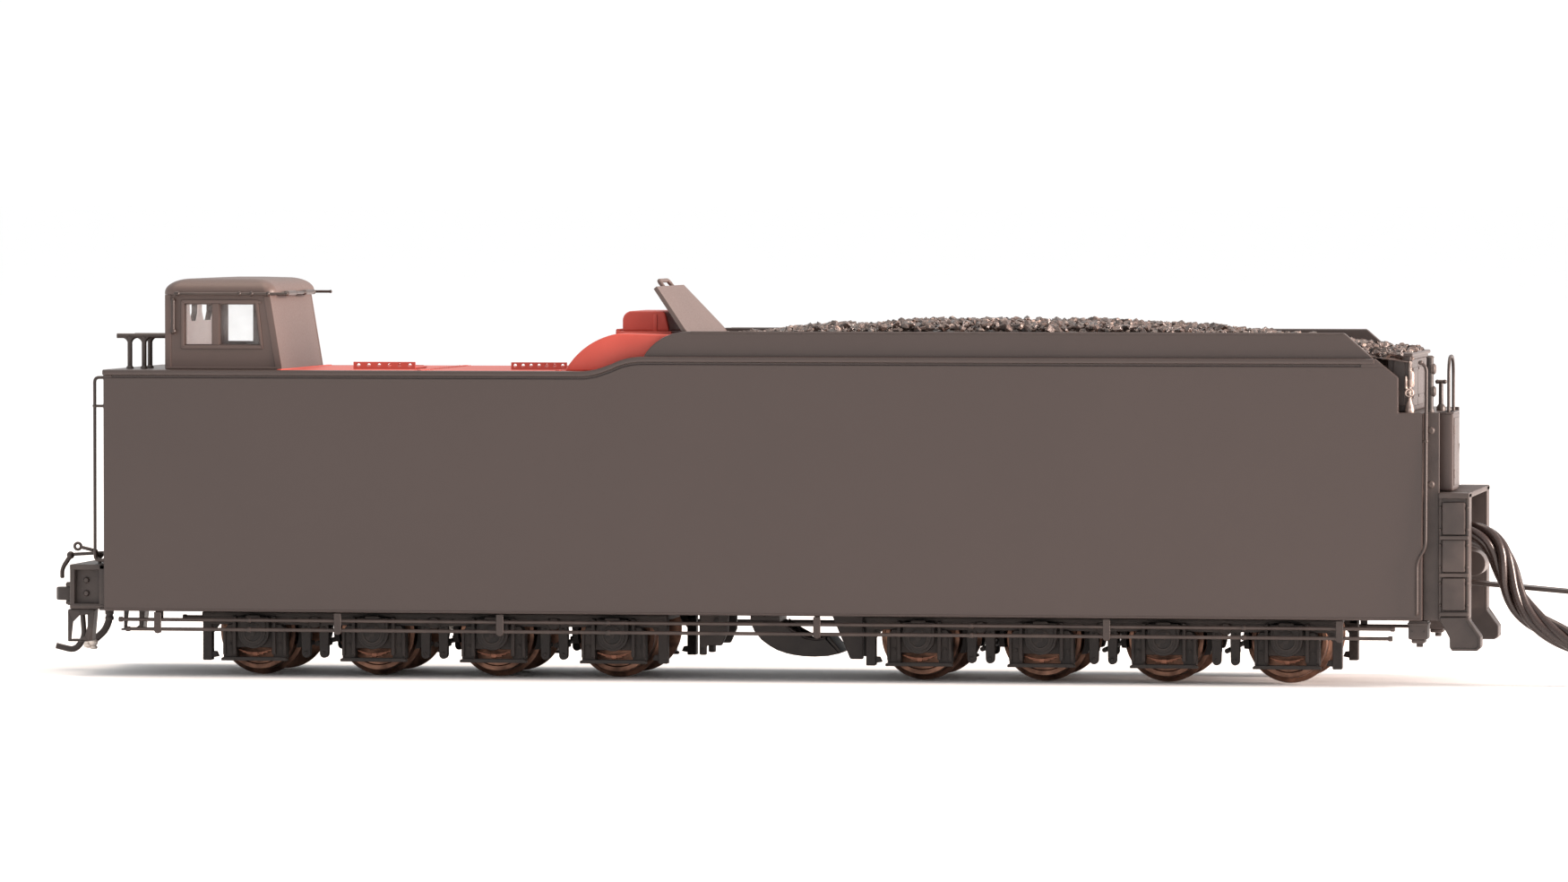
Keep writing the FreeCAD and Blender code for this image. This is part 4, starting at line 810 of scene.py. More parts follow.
def leaf_springs(middle):
    """The bowed bronze leaves in the slots under the axle boxes."""
    leaves = []
    for number in AXLE_PLACES:
        x = middle + number * AXLE_GAP
        for level, reach in enumerate((2.3, 1.75, 1.15)):
            drop = [(x + u, 3.52 - 0.42 * math.cos(u / 2.3 * math.pi / 2) - 0.13 * level)
                    for u in np.linspace(-reach, reach, 9)]
            leaf = [(u, z + 0.12) for u, z in drop] + drop[::-1]
            leaves.append(prism(leaf, "y", -12.75, -11.85, 0.02, 40))
        leaves.append(block(about(x, 0.35), (-12.8, -11.8), (2.66, 3.3), 0.06))
    return leaves


def truck_frame(middle):
    """The frame between the sides: spine, cross beams, centre plate and brake beams."""
    low, high = middle - 31, middle + 31
    shapes = [block((low, high), (-5.3, 5.3), (7.6, 9.0), 0.2)]
    shapes += [block((low + 0.6, high - 0.6), about(y, 0.35), (8.9, 9.6), 0.1) for y in (-4.6, 4.6)]
    for number in (-1, 0, 1):
        x = middle + number * AXLE_GAP
        shapes.append(block(about(x, 1.35), (SIDE_BACK, -SIDE_BACK), (7.6, 9.3), 0.2))
        shapes.append(rod([(x, -10.9, 4.4), (x, 10.9, 4.4)], 0.35))
        shapes += [bolt((x, y, 9.3), "z", 0.45, 0.3) for y in (-9, 9)]
    centre_plate = [(3.95, 0), (3.95, 2.9), (3.6, 3.1), (1.6, 3.1), (1.6, 0)]
    shapes.append(turned(centre_plate, (middle, 0, 9.6), "z", 40))
    shapes += [bolt((middle + 6 * side, 0, 9.0), "z", 0.5, 0.4) for side in (-1, 1)]
    return shapes


def truck(name, centre_node):
    low, high = box_of(centre_node)
    middle = (low.x + high.x) / 2
    near = truck_side(middle)
    far = mirrored(near)
    piece(f"{name}_side_casting_near", name, [(TRUCK_PLASTIC_SHADED, near)], [f"{name}_near_side"])
    piece(f"{name}_side_casting_far", name, [(TRUCK_PLASTIC_SHADED, far)], [f"{name}_far_side"])
    piece(f"{name}_leaves", name, [(BRONZE, both(leaf_springs(middle)))], [f"{name}_springs"])
    piece(f"{name}_bolster", name, [(TRUCK_PLASTIC_SHADED, truck_frame(middle))], [f"{name}_frame"])
    for number, place in enumerate(AXLE_PLACES, start=1):
        wheelset(name, number, middle + place * AXLE_GAP)


truck("rear_truck", "rear_truck_frame")
truck("front_truck", "front_truck_frame")


# ---------------------------------------------------------------- tank

HALF_WIDTH = 18.0
TANK_END = 90.3
SKIRT_Z = 9.0
DECK_Z = 42.0
LEDGE_Z = 44.0
RIM_Z = 47.4
SHELF_Z = 36.8
NOSE_X = 87.0


def top_edge(drop):
    """The side's top line from the front down to the rear deck, a little below the real one."""
    turn = 27.4
    upper = arc((-15.5, LEDGE_Z - 9.35 - drop), 9.35, 90, 90 + turn, 7)
    lower = arc((-24.1, DECK_Z + 9.35 - drop), 9.35, -90 + turn, -90, 7)[1:]
    return [(83.9, LEDGE_Z - drop)] + upper + lower + [(-TANK_END, DECK_Z - drop)]


def band(top, bottom, outer, inner, edge):
    """A strip along the side's top line between two depths below it."""
    return prism(top_edge(top) + top_edge(bottom)[::-1], "y", outer, inner, edge, 40)


def tank_side():
    """The tall near side: plain wall, groove and rolled rim along its top line, upper bunker plate."""
    wall = top_edge(1.05)[1:] + [(-TANK_END, SKIRT_Z), (TANK_END, SKIRT_Z), (TANK_END, SHELF_Z),
                                 (NOSE_X, SHELF_Z), (NOSE_X, 41.5), (85.2, LEDGE_Z - 1.05)]
    nose = [(85.3, LEDGE_Z - 1.15), (82.0, LEDGE_Z - 1.15), (82.0, LEDGE_Z), (83.9, LEDGE_Z)]
    corner = arc((-9.5, RIM_Z - 7.0), 7.0, 90, 151, 9)
    foot = SKIRT_Z + 0.25
    plate = corner + [(-15.9, 42.6), (83.4, 42.6), (83.6, LEDGE_Z), (79.7, RIM_Z)]
    return [prism(wall, "y", -HALF_WIDTH, -HALF_WIDTH + 1.15, 0.22, 40),
            band(0.6, 1.25, -17.72, -16.85, 0),
            prism(nose, "y", -HALF_WIDTH, -16.9, 0.1, 40),
            band(0, 0.78, -18.21, -16.9, 0.3),
            prism(plate, "y", -HALF_WIDTH + 1.0, -HALF_WIDTH + 2.15, 0.2, 40),
            rod([(-9.0, -16.95, RIM_Z - 0.12), (79.6, -16.95, RIM_Z - 0.12)], 0.16, sides=8),
            rod([(-TANK_END + 0.3, -HALF_WIDTH, foot), (TANK_END - 0.3, -HALF_WIDTH, foot)], 0.12, sides=8)]


def tank():
    """Sides, ends, decks and the bunker's inside, as one painted shell."""
    inner = (-16.9, 16.9)
    ends = [block((-TANK_END, -TANK_END + 1.2), (-17.9, 17.9), (SKIRT_Z, DECK_Z), 0.25),
            block((-TANK_END - 0.18, -TANK_END + 0.6), (-17.9, 17.9), (DECK_Z - 0.78, DECK_Z), 0.2),
            block((TANK_END - 1.2, TANK_END), (-17.9, 17.9), (SKIRT_Z, SHELF_Z), 0.25)]
    decks = [block((-TANK_END + 0.4, -66.35), inner, (DECK_Z - 0.8, DECK_Z - 0.02), 0.05),
             block((-9.5, 85), inner, (39.4, 40.2), 0.05), block((-10.3, -9.5), inner, (39.4, 46), 0.05),
             block((84.2, TANK_END), inner, (SHELF_Z - 0.8, SHELF_Z), 0.1),
             block((84.2, 85), inner, (36.8, 39.4), 0.05)]
    posts = [block(about(x, 2.4), (-16.8, -12), (14.4, 22), 0.1) for x in (-78.5, 78.5)]
    shapes = both(tank_side() + posts) + ends + decks
    piece("tank_body", "tender", [(PAINT, shapes)], ["tank_shell"])


def hatch(node_name):
    """A low water hatch lid with ribs, a turned-up edge, hinge barrels and a lifting handle."""
    low, high = box_of(node_name)
    middle = (low + high) / 2
    top = low.z + 0.34
    shapes = [block((low.x, high.x), (low.y, high.y), (low.z + 0.02, top), 0.12)]
    shapes += [block(about(x, 0.2), (low.y + 0.6, high.y - 0.5), (top - 0.1, top + 0.12), 0.08)
               for x in (low.x + 1.6, middle.x, high.x - 1.6)]
    shapes += [block((low.x + 0.4, high.x - 0.4), about(y, 0.15), about(top, 0.1), 0.06)
               for y in (low.y + 0.9, high.y - 0.8)]
    shapes += [rod([(x - 0.7, low.y + 0.12, top - 0.05), (x + 0.7, low.y + 0.12, top - 0.05)], 0.13)
               for x in (low.x + 1.6, high.x - 1.6)]
    shapes.append(rod([(middle.x - 0.9, high.y - 0.5, top), (middle.x - 0.9, high.y - 0.5, top + 0.18),
                       (middle.x + 0.9, high.y - 0.5, top + 0.18), (middle.x + 0.9, high.y - 0.5, top)],
                      0.09, 0.1))
    shapes += [rivet((x, y, top), "z", 0.13, 0.08) for x in np.linspace(low.x + 0.5, high.x - 0.5, 7)
               for y in (low.y + 0.35, high.y - 0.3)]
    piece(node_name + "_pressed", node_name, [(RED, shapes)], [node_name])


def deck_details():
    """Seam strips on the red deck, the middle one between two rows of rivets."""
    middle = -46.5
    shapes = [block(about(x, 0.3), (-16.7, 16.7), (DECK_Z - 0.02, DECK_Z + 0.1), 0.05)
              for x in (-66.0, middle, -27.4)]
    shapes += [rivet((middle + side * 0.75, y, DECK_Z), "z", 0.14, 0.1) for side in (-1, 1)
               for y in np.arange(-15.5, 16, 1.55)]
    piece("deck_seams", "tender", [(RED, shapes)])


def hump():
    """The rounded red casing, its filler neck and the lip that the hood closes on."""
    low, high = box_of("hump_casing")
    curve = arc((-17.6, DECK_Z - 5.1), 10.3, 150.5, 99, 14)
    outline = curve + [(-10.6, DECK_Z + 4.9), (-10.6, DECK_Z)]
    shapes = [prism(outline, "y", low.y, high.y, 0.25, 40)]
    neck = [(-20.7, -6.2), (-13.8, -6.2), (-13.8, 6.2), (-20.7, 6.2)]
    shapes.append(prism(neck, "z", DECK_Z + 3.3, 46.3, 0.7, 40))
    shapes.append(block((-21.9, -13.1), (-7, 7), (46.18, 46.52), 0.14))
    shapes.append(block((-21.6, -13.2), (-6.7, 6.7), (46.4, 46.8), 0.12))
    shapes += [rod([(x, -7.0, 46.35), (x, -7.55, 46.2), (x, -7.3, 45.2)], 0.15, 0.2) for x in (-19.6, -15.2)]
    shapes += [rivet((-21.5, y, 46.5), "z", 0.14, 0.1) for y in np.arange(-6, 6.5, 1.5)]
    piece("hump_pressing", "tender", [(RED, shapes)], ["hump_casing"])


def hood():
    """The filler hood: a rounded cover on a flanged foot, a strip on each end and a hinge along the back."""
    low, high = box_of("filler_hood")
    back, front = low.x, high.x
    top = high.z
    outline = [(back + 0.85, low.z + 0.4)] + arc((back + 2.15, top - 1.3), 1.3, 180, 90, 10)
    outline += arc((front - 1.5, top - 0.6), 0.6, 90, 20, 5) + [(front - 0.35, low.z + 0.4)]
    shapes = [prism(outline, "y", low.y + 0.55, high.y - 0.55, 0.35, 40)]
    shapes.append(block((back, front), (low.y, high.y), (low.z, low.z + 0.45), 0.18))
    hinge_x, hinge_z = back + 0.28, low.z + 0.5
    shapes.append(rod([(hinge_x, low.y + 0.2, hinge_z), (hinge_x, high.y - 0.2, hinge_z)], 0.26))
    shapes += [block((front - 2.6, front - 2.1), about(y, 0.1), (low.z + 0.4, top - 0.5), 0.05)
               for y in (low.y + 0.5, high.y - 0.5)]
    shapes += [rod([(back + 0.25, y - 0.8, low.z + 0.35), (back + 0.25, y + 0.8, low.z + 0.35)], 0.2)
               for y in (-4, 4)]
    piece("hood_pressing", "filler_hood", [(RED, shapes)], ["filler_hood"])


def bulkhead():
    """The slanted plate behind the coal, narrower at its top, with a folded edge and a loop handle."""
    low, high = box_of("coal_bulkhead")
    foot, head, top = -9.2, -15.2, RIM_Z + 5.9
    slope = math.atan2(head - foot, top - low.z)
    stand = Matrix.Translation((foot + 0.3, 0, low.z)) @ Matrix.Rotation(slope, 4, "Y")
    tall = math.hypot(head - foot, top - low.z)
    face = [(low.y, 0), (high.y, 0), (high.y, 2.1), (10.9, tall), (-10.9, tall), (low.y, 2.1)]
    inside = [(y * 0.975, 0.3 + z * 0.95) for y, z in face]
    shapes = [prism(face, "x", -0.2, 0.25, 0.1, 20)] + ring(face, inside, "x", -0.34, -0.1, 0.08)
    for shape in shapes:
        bmesh.ops.transform(shape, matrix=stand, verts=shape.verts)
    shapes.append(rod([(head + 0.4, -3.6, top - 0.3), (head - 0.5, -3.6, top + 0.8),
                       (head - 0.5, 3.6, top + 0.8), (head + 0.4, 3.6, top - 0.3)], 0.29, 0.6))
    piece("bulkhead_sheet", "tender", [(PAINT_LIT_COPY, shapes)], ["coal_bulkhead"])


def gate():
    """The housing in front of the bunker: a box under a lip, with strapped panels."""
    low, high = box_of("coal_gate")
    shapes = [block((low.x, high.x - 0.3), (low.y, high.y), (low.z, high.z - 0.1), 0.2),
              block((low.x - 0.1, high.x), (low.y - 0.15, high.y + 0.15), (high.z - 0.5, high.z), 0.15)]
    for start, end in ((-13.2, -4.8), (-4.4, 4.4), (4.8, 13.2)):
        shapes.append(block((high.x - 0.4, high.x - 0.1), (start, end), (low.z + 0.7, high.z - 0.9), 0.12))
        shapes += [block((high.x - 0.2, high.x + 0.02), (start + 0.5, end - 0.5), about(z, 0.2), 0.08)
                   for z in (low.z + 2, high.z - 2.2)]
    for y in (low.y - 0.05, high.y + 0.05):
        shapes.append(block((low.x + 0.8, high.x - 1.0), about(y, 0.15), (low.z + 0.8, high.z - 1.0), 0.12))
    shapes += [rivet((high.x - 0.1, y, z), "x", 0.17, 0.12) for y in (-12.4, -5.6, -3.6, 3.6, 5.6, 12.4)
               for z in (low.z + 2, high.z - 2.2)]
    piece("gate_housing", "tender", [(PAINT, shapes)], ["coal_gate"])


for build in (tank, deck_details, hump, hood, bulkhead, gate):
    build()
for hatch_name in ("rear_hatch_lid", "front_hatch_lid"):
    hatch(hatch_name)


# ---------------------------------------------------------------- cabin on the rear deck

CABIN_BACK, CABIN_FOOT, CABIN_BROW = -82.6, -66.3, -68.0
CABIN_HALF = 13.4
EAVE_Z = 52.2
SILL_Z, HEAD_Z, REAR_SILL_Z = 45.3, 51.0, 48.4
WINDOW_BACK, WINDOW_FRONT, WINDOW_FRONT_TOP = -79.9, -69.3, -70.0
POST_BACK, POST_FRONT = -76.0, -75.1
REAR_WINDOWS = ((-11.9, -5.0), (-2.6, 2.6), (5.0, 11.9))
ROOF_ROUNDING = 3.1


def cabin_side():
    """What is fixed to the near wall: window frame, sashes, post, corner strips and foot strip."""
    wall = -CABIN_HALF
    sash = 0.14
    around = [(-80.4, SILL_Z - 0.5), (-68.9, SILL_Z - 0.5), (-69.65, HEAD_Z + 0.5), (-80.4, HEAD_Z + 0.5)]
    opening = [(WINDOW_BACK, SILL_Z), (WINDOW_FRONT, SILL_Z), (WINDOW_FRONT_TOP, HEAD_Z),
               (WINDOW_BACK, HEAD_Z)]
    frame_shapes = ring(around, opening, "y", wall - 0.24, wall + 0.1, 0.09)
    for start, low_end, high_end in ((WINDOW_BACK, POST_BACK, POST_BACK),
                                     (POST_FRONT, WINDOW_FRONT, WINDOW_FRONT_TOP)):
        outer = [(start, SILL_Z), (low_end, SILL_Z), (high_end, HEAD_Z), (start, HEAD_Z)]
        inside = [(start + sash, SILL_Z + sash), (low_end - sash, SILL_Z + sash),
                  (high_end - sash, HEAD_Z - sash), (start + sash, HEAD_Z - sash)]
        frame_shapes += ring(outer, inside, "y", wall + 0.1, wall + 0.6, 0.04)
    post = (POST_BACK - 0.05, POST_FRONT + 0.05)
    frame_shapes.append(block(post, (wall - 0.12, wall + 0.7), (SILL_Z, HEAD_Z), 0.1))
    lean = (CABIN_FOOT - CABIN_BROW) / (EAVE_Z - DECK_Z)
    back, front, tall = CABIN_FOOT - 0.9, CABIN_FOOT + 0.06, 10
    strip = [(back, DECK_Z), (front, DECK_Z), (front - lean * tall, DECK_Z + tall),
             (back - lean * tall, DECK_Z + tall)]
    frame_shapes.append(prism(strip, "y", wall - 0.14, wall + 0.4, 0.1))
    frame_shapes.append(block((CABIN_BACK - 0.06, CABIN_BACK + 0.8), (wall - 0.14, wall + 0.4),
                              (DECK_Z, EAVE_Z), 0.1))
    frame_shapes.append(block((CABIN_BACK, CABIN_FOOT), (wall - 0.2, wall + 0.1), (DECK_Z, DECK_Z + 0.35),
                              0.1))
    return frame_shapes


def cabin():
    """Window frames and strips on the CAD walls, and the pale lining, which glows faintly as painted light,
    with its three rear windows.
    """
    details = both(cabin_side())
    piece("cabin_trim", "tender", [(PAINT_LIT_COPY, details)])

    inside = CABIN_BACK + 0.82
    sheets = [block((inside, inside + 0.12), (-12.5, 12.5), (DECK_Z + 0.8, REAR_SILL_Z), 0.02),
              block((inside, inside + 0.12), (-12.5, 12.5), (HEAD_Z, EAVE_Z - 0.05), 0.02)]
    for left, right in REAR_WINDOWS:
        for corner_y, way in ((left, 1), (right, -1)):
            corner = [(corner_y, REAR_SILL_Z), (corner_y + way * 1.1, REAR_SILL_Z),
                      (corner_y, REAR_SILL_Z + 1.2)]
            sheets.append(prism(corner, "x", inside, inside + 0.12, 0))
    sheets += [block((inside, inside + 0.12), between, (REAR_SILL_Z, HEAD_Z), 0.02)
               for between in ((-12.5, -11.9), (-5.0, -2.6), (2.6, 5.0), (11.9, 12.5))]
    sheets.append(block((CABIN_BACK + 1, CABIN_FOOT - 1.5), (-12.4, 12.4), (DECK_Z, DECK_Z + 0.3), 0.05))
    sheets += [block((CABIN_BACK + 1.2, -77.2), about(y, 2.6), (DECK_Z + 0.3, DECK_Z + 2.6), 0.3)
               for y in (-8.4, 8.4)]
    piece("cabin_lining", "tender", [(INNER, sheets)])


def roof():
    """The cabin's roof, rounded over towards all four sides."""
    low, high = box_of("doghouse_roof")
    middle = (low + high) / 2
    eave = low.z + 0.35
    half_x, half_y = (high.x - low.x) / 2, (high.y - low.y) / 2
    plan = []
    for way_x, way_y, start in ((1, 1, 0), (-1, 1, 90), (-1, -1, 180), (1, -1, 270)):
        plan += arc((way_x * (half_x - 1.6), way_y * (half_y - 1.6)), 1.6, start, start + 90, 7)
    levels = [(0.0, low.z + 0.02), (0.0, eave)]
    for turn in np.linspace(0, math.pi / 2, 12)[1:]:
        levels.append((ROOF_ROUNDING * (1 - math.cos(turn)), eave + (high.z - 0.12 - eave) * math.sin(turn)))
    levels.append((half_x * 0.75, high.z - 0.02))
    shape = bmesh.new()
    rings = []
    for inset, height in levels:
        squeeze_x, squeeze_y = 1 - inset / half_x, 1 - inset / half_y
        rings.append([shape.verts.new((middle.x + x * squeeze_x, y * squeeze_y, height)) for x, y in plan])
    for under, over in zip(rings, rings[1:]):
        for k in range(len(plan)):
            following = (k + 1) % len(plan)
            shape.faces.new((under[k], under[following], over[following], over[k]))
    shape.faces.new(rings[-1])
    shape.faces.new(rings[0][::-1])
    piece("roof_pressing", "tender", [(PAINT_LIT_COPY, [shape])], ["doghouse_roof"], sharp=50)


def cabin_rails():
    """Rods under the eaves in brackets, the front one in sleeves, and a drop rail at each rear corner."""
    eave = EAVE_Z + 0.15
    line = -CABIN_HALF - 1.0
    rear_end, front_end = (-80.9, line, eave), (-65.4, line, eave)
    near = [rod([rear_end, front_end], 0.2), ball(rear_end, 0.3), ball(front_end, 0.24)]
    for x in (-80.6, -72.0, -70.3, -68.0):
        near += [ball((x, line, eave), 0.36, (0.8, 1, 1)),
                 rod([(x, line, eave), (x, line + 0.75, eave - 0.05)], 0.18)]
    drop_x, drop_y, top, foot = -81.4, -CABIN_HALF - 0.75, 51.5, 47.2
    near.append(rod([(drop_x, -CABIN_HALF, top), (drop_x, drop_y, top), (drop_x, drop_y, foot),
                     (drop_x, -CABIN_HALF, foot)], 0.28, 0.5))
    near.append(ball((drop_x, -CABIN_HALF - 0.6, foot), 0.44))
    front_x = CABIN_BROW + 1.3
    wall_x = CABIN_BROW + 0.7
    across = [rod([(wall_x, -9, eave), (front_x, -9, eave), (front_x, 9, eave), (wall_x, 9, eave)], 0.2,
                  0.3)]
    across += [ball((front_x, y, eave), 0.34, (1, 0.8, 1)) for y in (-9, -3, 3, 9)]
    across += [rod([(front_x, y, eave), (CABIN_BROW + 0.65, y, eave)], 0.16) for y in (-3, 3)]
    sleeve = [(0.28, 0), (0.34, 0.1), (0.34, 5.1), (0.28, 5.2)]
    across += [turned(sleeve, (front_x, y, eave), "y", 18) for y in (-8.4, 3.2)]
    piece("cabin_rods", "tender", [(WIRE, both(near) + across)], ["cabin_grab_rails"],
          sharp=50)


cabin()
roof()
cabin_rails()


# ---------------------------------------------------------------- under the tank

def pipes():
    """Two train pipes along each side with sleeves, end caps and bolted clamps."""
    line = -HALF_WIDTH + 0.65
    near = []
    upper_z, lower_z = 7.85, 6.55
    for start, end, z in ((-88.3, 86.6, upper_z), (-87.3, 86.3, lower_z)):
        near.append(rod([(start, line, z), (end, line, z)], 0.25, sides=14))
        near += [turned([(0.3, 0), (0.36, 0.1), (0.36, 0.5), (0.3, 0.6)], (x, line, z), "x", 14)
                 for x in (start, end - 0.6, -70.4, -20.6, 29.1, 66.0)]
    for x in (-82.8, -57.7, -35.2, 8.4, 47.8, 79.2):
        clamp = [(x - 0.5, 6.35), (x - 0.5, 8.9), (x + 0.5, 8.9), (x + 0.5, 6.35)]
        clamp += arc((x, 6.45), 0.5, -20, -160, 7)
        near.append(prism(clamp, "y", line - 0.44, line - 0.18, 0.08, 20))
        near.append(block(about(x, 0.4), (line - 0.3, line + 0.42), (6.05, 6.3), 0.08))
        near.append(block(about(x, 0.35), (line - 0.2, line + 0.42), (8.2, 9.0), 0.08))
        near += [bolt((x, line - 0.42, z), "-y", 0.17, 0.03) for z in (7.2, 8.45)]
    x, behind = -82.6, line + 1.6
    near.append(rod([(x, line, upper_z), (x, behind, upper_z), (x, behind, 9.4)], 0.2, 0.5))
    piece("train_pipes", "tender", [(WIRE, both(near))], ["side_pipes"], sharp=50)


def scoop():
    """The water scoop: a dished spoon with a turned lip, its stem, arms and cross shaft."""
    floor_line = [(-3.1, 7.6), (-2.5, 6.2), (-1.5, 5.0), (-0.4, 4.2), (0.7, 3.6), (1.9, 3.2), (2.9, 2.98),
                  (4.3, 2.8), (5.8, 2.75), (7.7, 2.85), (9.3, 3.2)]
    above = [(7.3, 5.3), (6.2, 5.0), (4.6, 5.2), (2.6, 6.3), (1.0, 7.6)]
    cheek = floor_line + above
    shapes = [prism(cheek, "y", y - 0.3, y + 0.3, 0.12, 30) for y in (-3.1, 3.1)]
    lining = [(x + 0.1, z + 0.55) for x, z in floor_line[::-1]]
    shapes.append(prism(floor_line + lining, "y", -3.1, 3.1, 0.05, 30))
    shapes.append(prism([(9.3, 3.2), (9.6, 3.5), (7.9, 5.6), (7.5, 5.3)], "y", -3.4, 3.4, 0.1, 30))
    shapes.append(block((-3.1, 1.0), (-3.2, 3.2), (7.4, 12.8), 0.3))
    shapes += both([rod([(1.2, -3.45, 7.5), (2.8, -3.45, 6.35), (4.7, -3.45, 5.35), (6.3, -3.45, 5.1),
                         (7.4, -3.45, 5.4)], 0.2, 0.8)])
    rear = [(-10.0, 2.9), (-9.0, 2.9), (-9.0, 4.2), (-6.9, 4.2), (-6.0, 6.2), (-6.0, 12.6), (-10.0, 12.6)]
    front = [(10.9, 2.5), (12.7, 2.5), (12.7, 12.6), (7.9, 12.6), (7.9, 9.6)]
    shapes += both([prism(rear, "y", -4.15, -3.35, 0.2), prism(front, "y", -4.15, -3.35, 0.2)])
    shapes += both([block((-9.9, -9.1), (-4.2, -3.1), (2.9, 4.0), 0.2),
                    rivet((-7.6, -4.15, 7.6), "-y", 0.5, 0.04), rivet((-1.2, -3.2, 8.8), "-y", 0.7, 0.5),
                    rivet((10.1, -4.15, 9.8), "-y", 0.5, 0.04)])
    shapes += [rod([(-8.2, -4.0, 9.6), (-8.2, 4.0, 9.6)], 0.6),
               rod([(10.3, -4.0, 10.6), (10.3, 4.0, 10.6)], 0.5),
               rod([(-8.2, 0, 9.6), (-3.0, 0, 10.4)], 0.4),
               block((-10.0, 12.7), (-4.1, 4.1), (11.9, 12.75), 0.15)]
    piece("scoop_casting", "tender", [(BLACK, shapes)], ["water_scoop"])


def hose_boxes():
    """The small boxes under the front corners with a bolted lid and a drain."""
    low, high = box_of("hose_boxes")
    near = [block((low.x + 0.1, high.x - 0.1), (low.y + 0.1, -12.7), (6.4, SKIRT_Z), 0.25),
            block((low.x + 0.5, high.x - 0.5), (low.y + 0.4, -13.1), (5.9, 6.5), 0.2),
            block((low.x, high.x), (low.y, -12.6), (8.3, 8.7), 0.12),
            turned([(0.45, 0), (0.45, 0.5), (0.25, 0.75), (0.25, 1.0)], (89.7, -14.6, 5.36), "z", 16)]
    near += [bolt((x, low.y + 0.1, 7.5), "-y", 0.2, 0.08) for x in (low.x + 0.6, high.x - 0.6)]
    piece("hose_box_castings", "tender", [(BLACK, both(near))], ["hose_boxes"])


# ---------------------------------------------------------------- rear end

def rear_beam():
    """The end beam: plate, flanges, ribs, pockets with their bosses, and a row of rivets."""
    back, wall = -95.3, -TANK_END
    plates = [block((wall - 0.9, wall), (-17, 17), (SKIRT_Z + 0.02, 15.3), 0.15)]
    for start, end in ((-17, -3.2), (3.2, 17)):
        plates.append(block((back, wall), (start, end), (SKIRT_Z + 0.2, SKIRT_Z + 0.95), 0.15))
        inner = (start + 0.02, end - 0.02)
        plates.append(block((back + 0.02, back + 0.7), inner, (SKIRT_Z + 0.25, 15.2), 0.15))
    plates.append(block((back, wall), (-17, 17), (14.55, 15.3), 0.15))
    plates.append(block((back + 0.05, back + 0.75), (-16.9, 16.9), (13.1, 15.15), 0.15))
    near = [block((back, wall), about(y, 0.3), (SKIRT_Z + 0.3, 15.1), 0.1) for y in (-15.4, -6)]
    near += [turned([(0.42, 0), (0.42, 0.25), (0.3, 0.5), (0, 0.55)], (back + 2.1, -15.68, z), "-y", 16)
             for z in (11.3, 13.1)]
    near += [rivet((back, y, z), "-x", 0.2, 0.04) for y in np.arange(-16, -3.5, 1.55) for z in (14.2, 10.4)]
    near.append(rod([(back + 0.2, -16.9, 9.6), (wall - 0.2, -16.9, 9.6)], 0.2))
    piece("end_beam_casting", "tender", [(BLACK, plates + both(near))], ["rear_end_beam"])


def stirrups():
    """The stirrup step under each rear corner: a plate with a rounded opening, a leg and a tread."""
    outer = [(-91.9, 9.0), (-93.9, 9.0), (-95.6, 9.0), (-95.6, 4.72), (-93.9, 4.72), (-92.7, 4.72),
             (-92.1, 6.5)]
    opening = [(-92.8, 8.4), (-93.9, 8.4), (-94.9, 7.4), (-95.15, 5.1), (-93.9, 5.0), (-93.2, 5.5),
               (-92.8, 7.0)]
    near = ring(outer, opening, "y", -16.8, -16.4, 0.06)
    near += [block((-95.5, -92.7), (-16.8, -14.2), (4.72, 5.0), 0.1),
             prism([(-92.9, 4.8), (-92.3, 4.8), (-91.9, 9.1), (-92.9, 9.1)], "y", -16.6, -14.2, 0.12),
             block((-95.6, -91.9), (-16.7, -14.2), (8.75, 9.15), 0.12)]
    near += [rivet((-94.0 + shift, y, 4.98), "z", 0.12, 0.06) for shift in (-0.7, 0, 0.7)
             for y in (-16, -15.5, -15)]
    piece("stirrup_castings", "tender", [(BLACK, both(near))], ["rear_steps"], sharp=45)


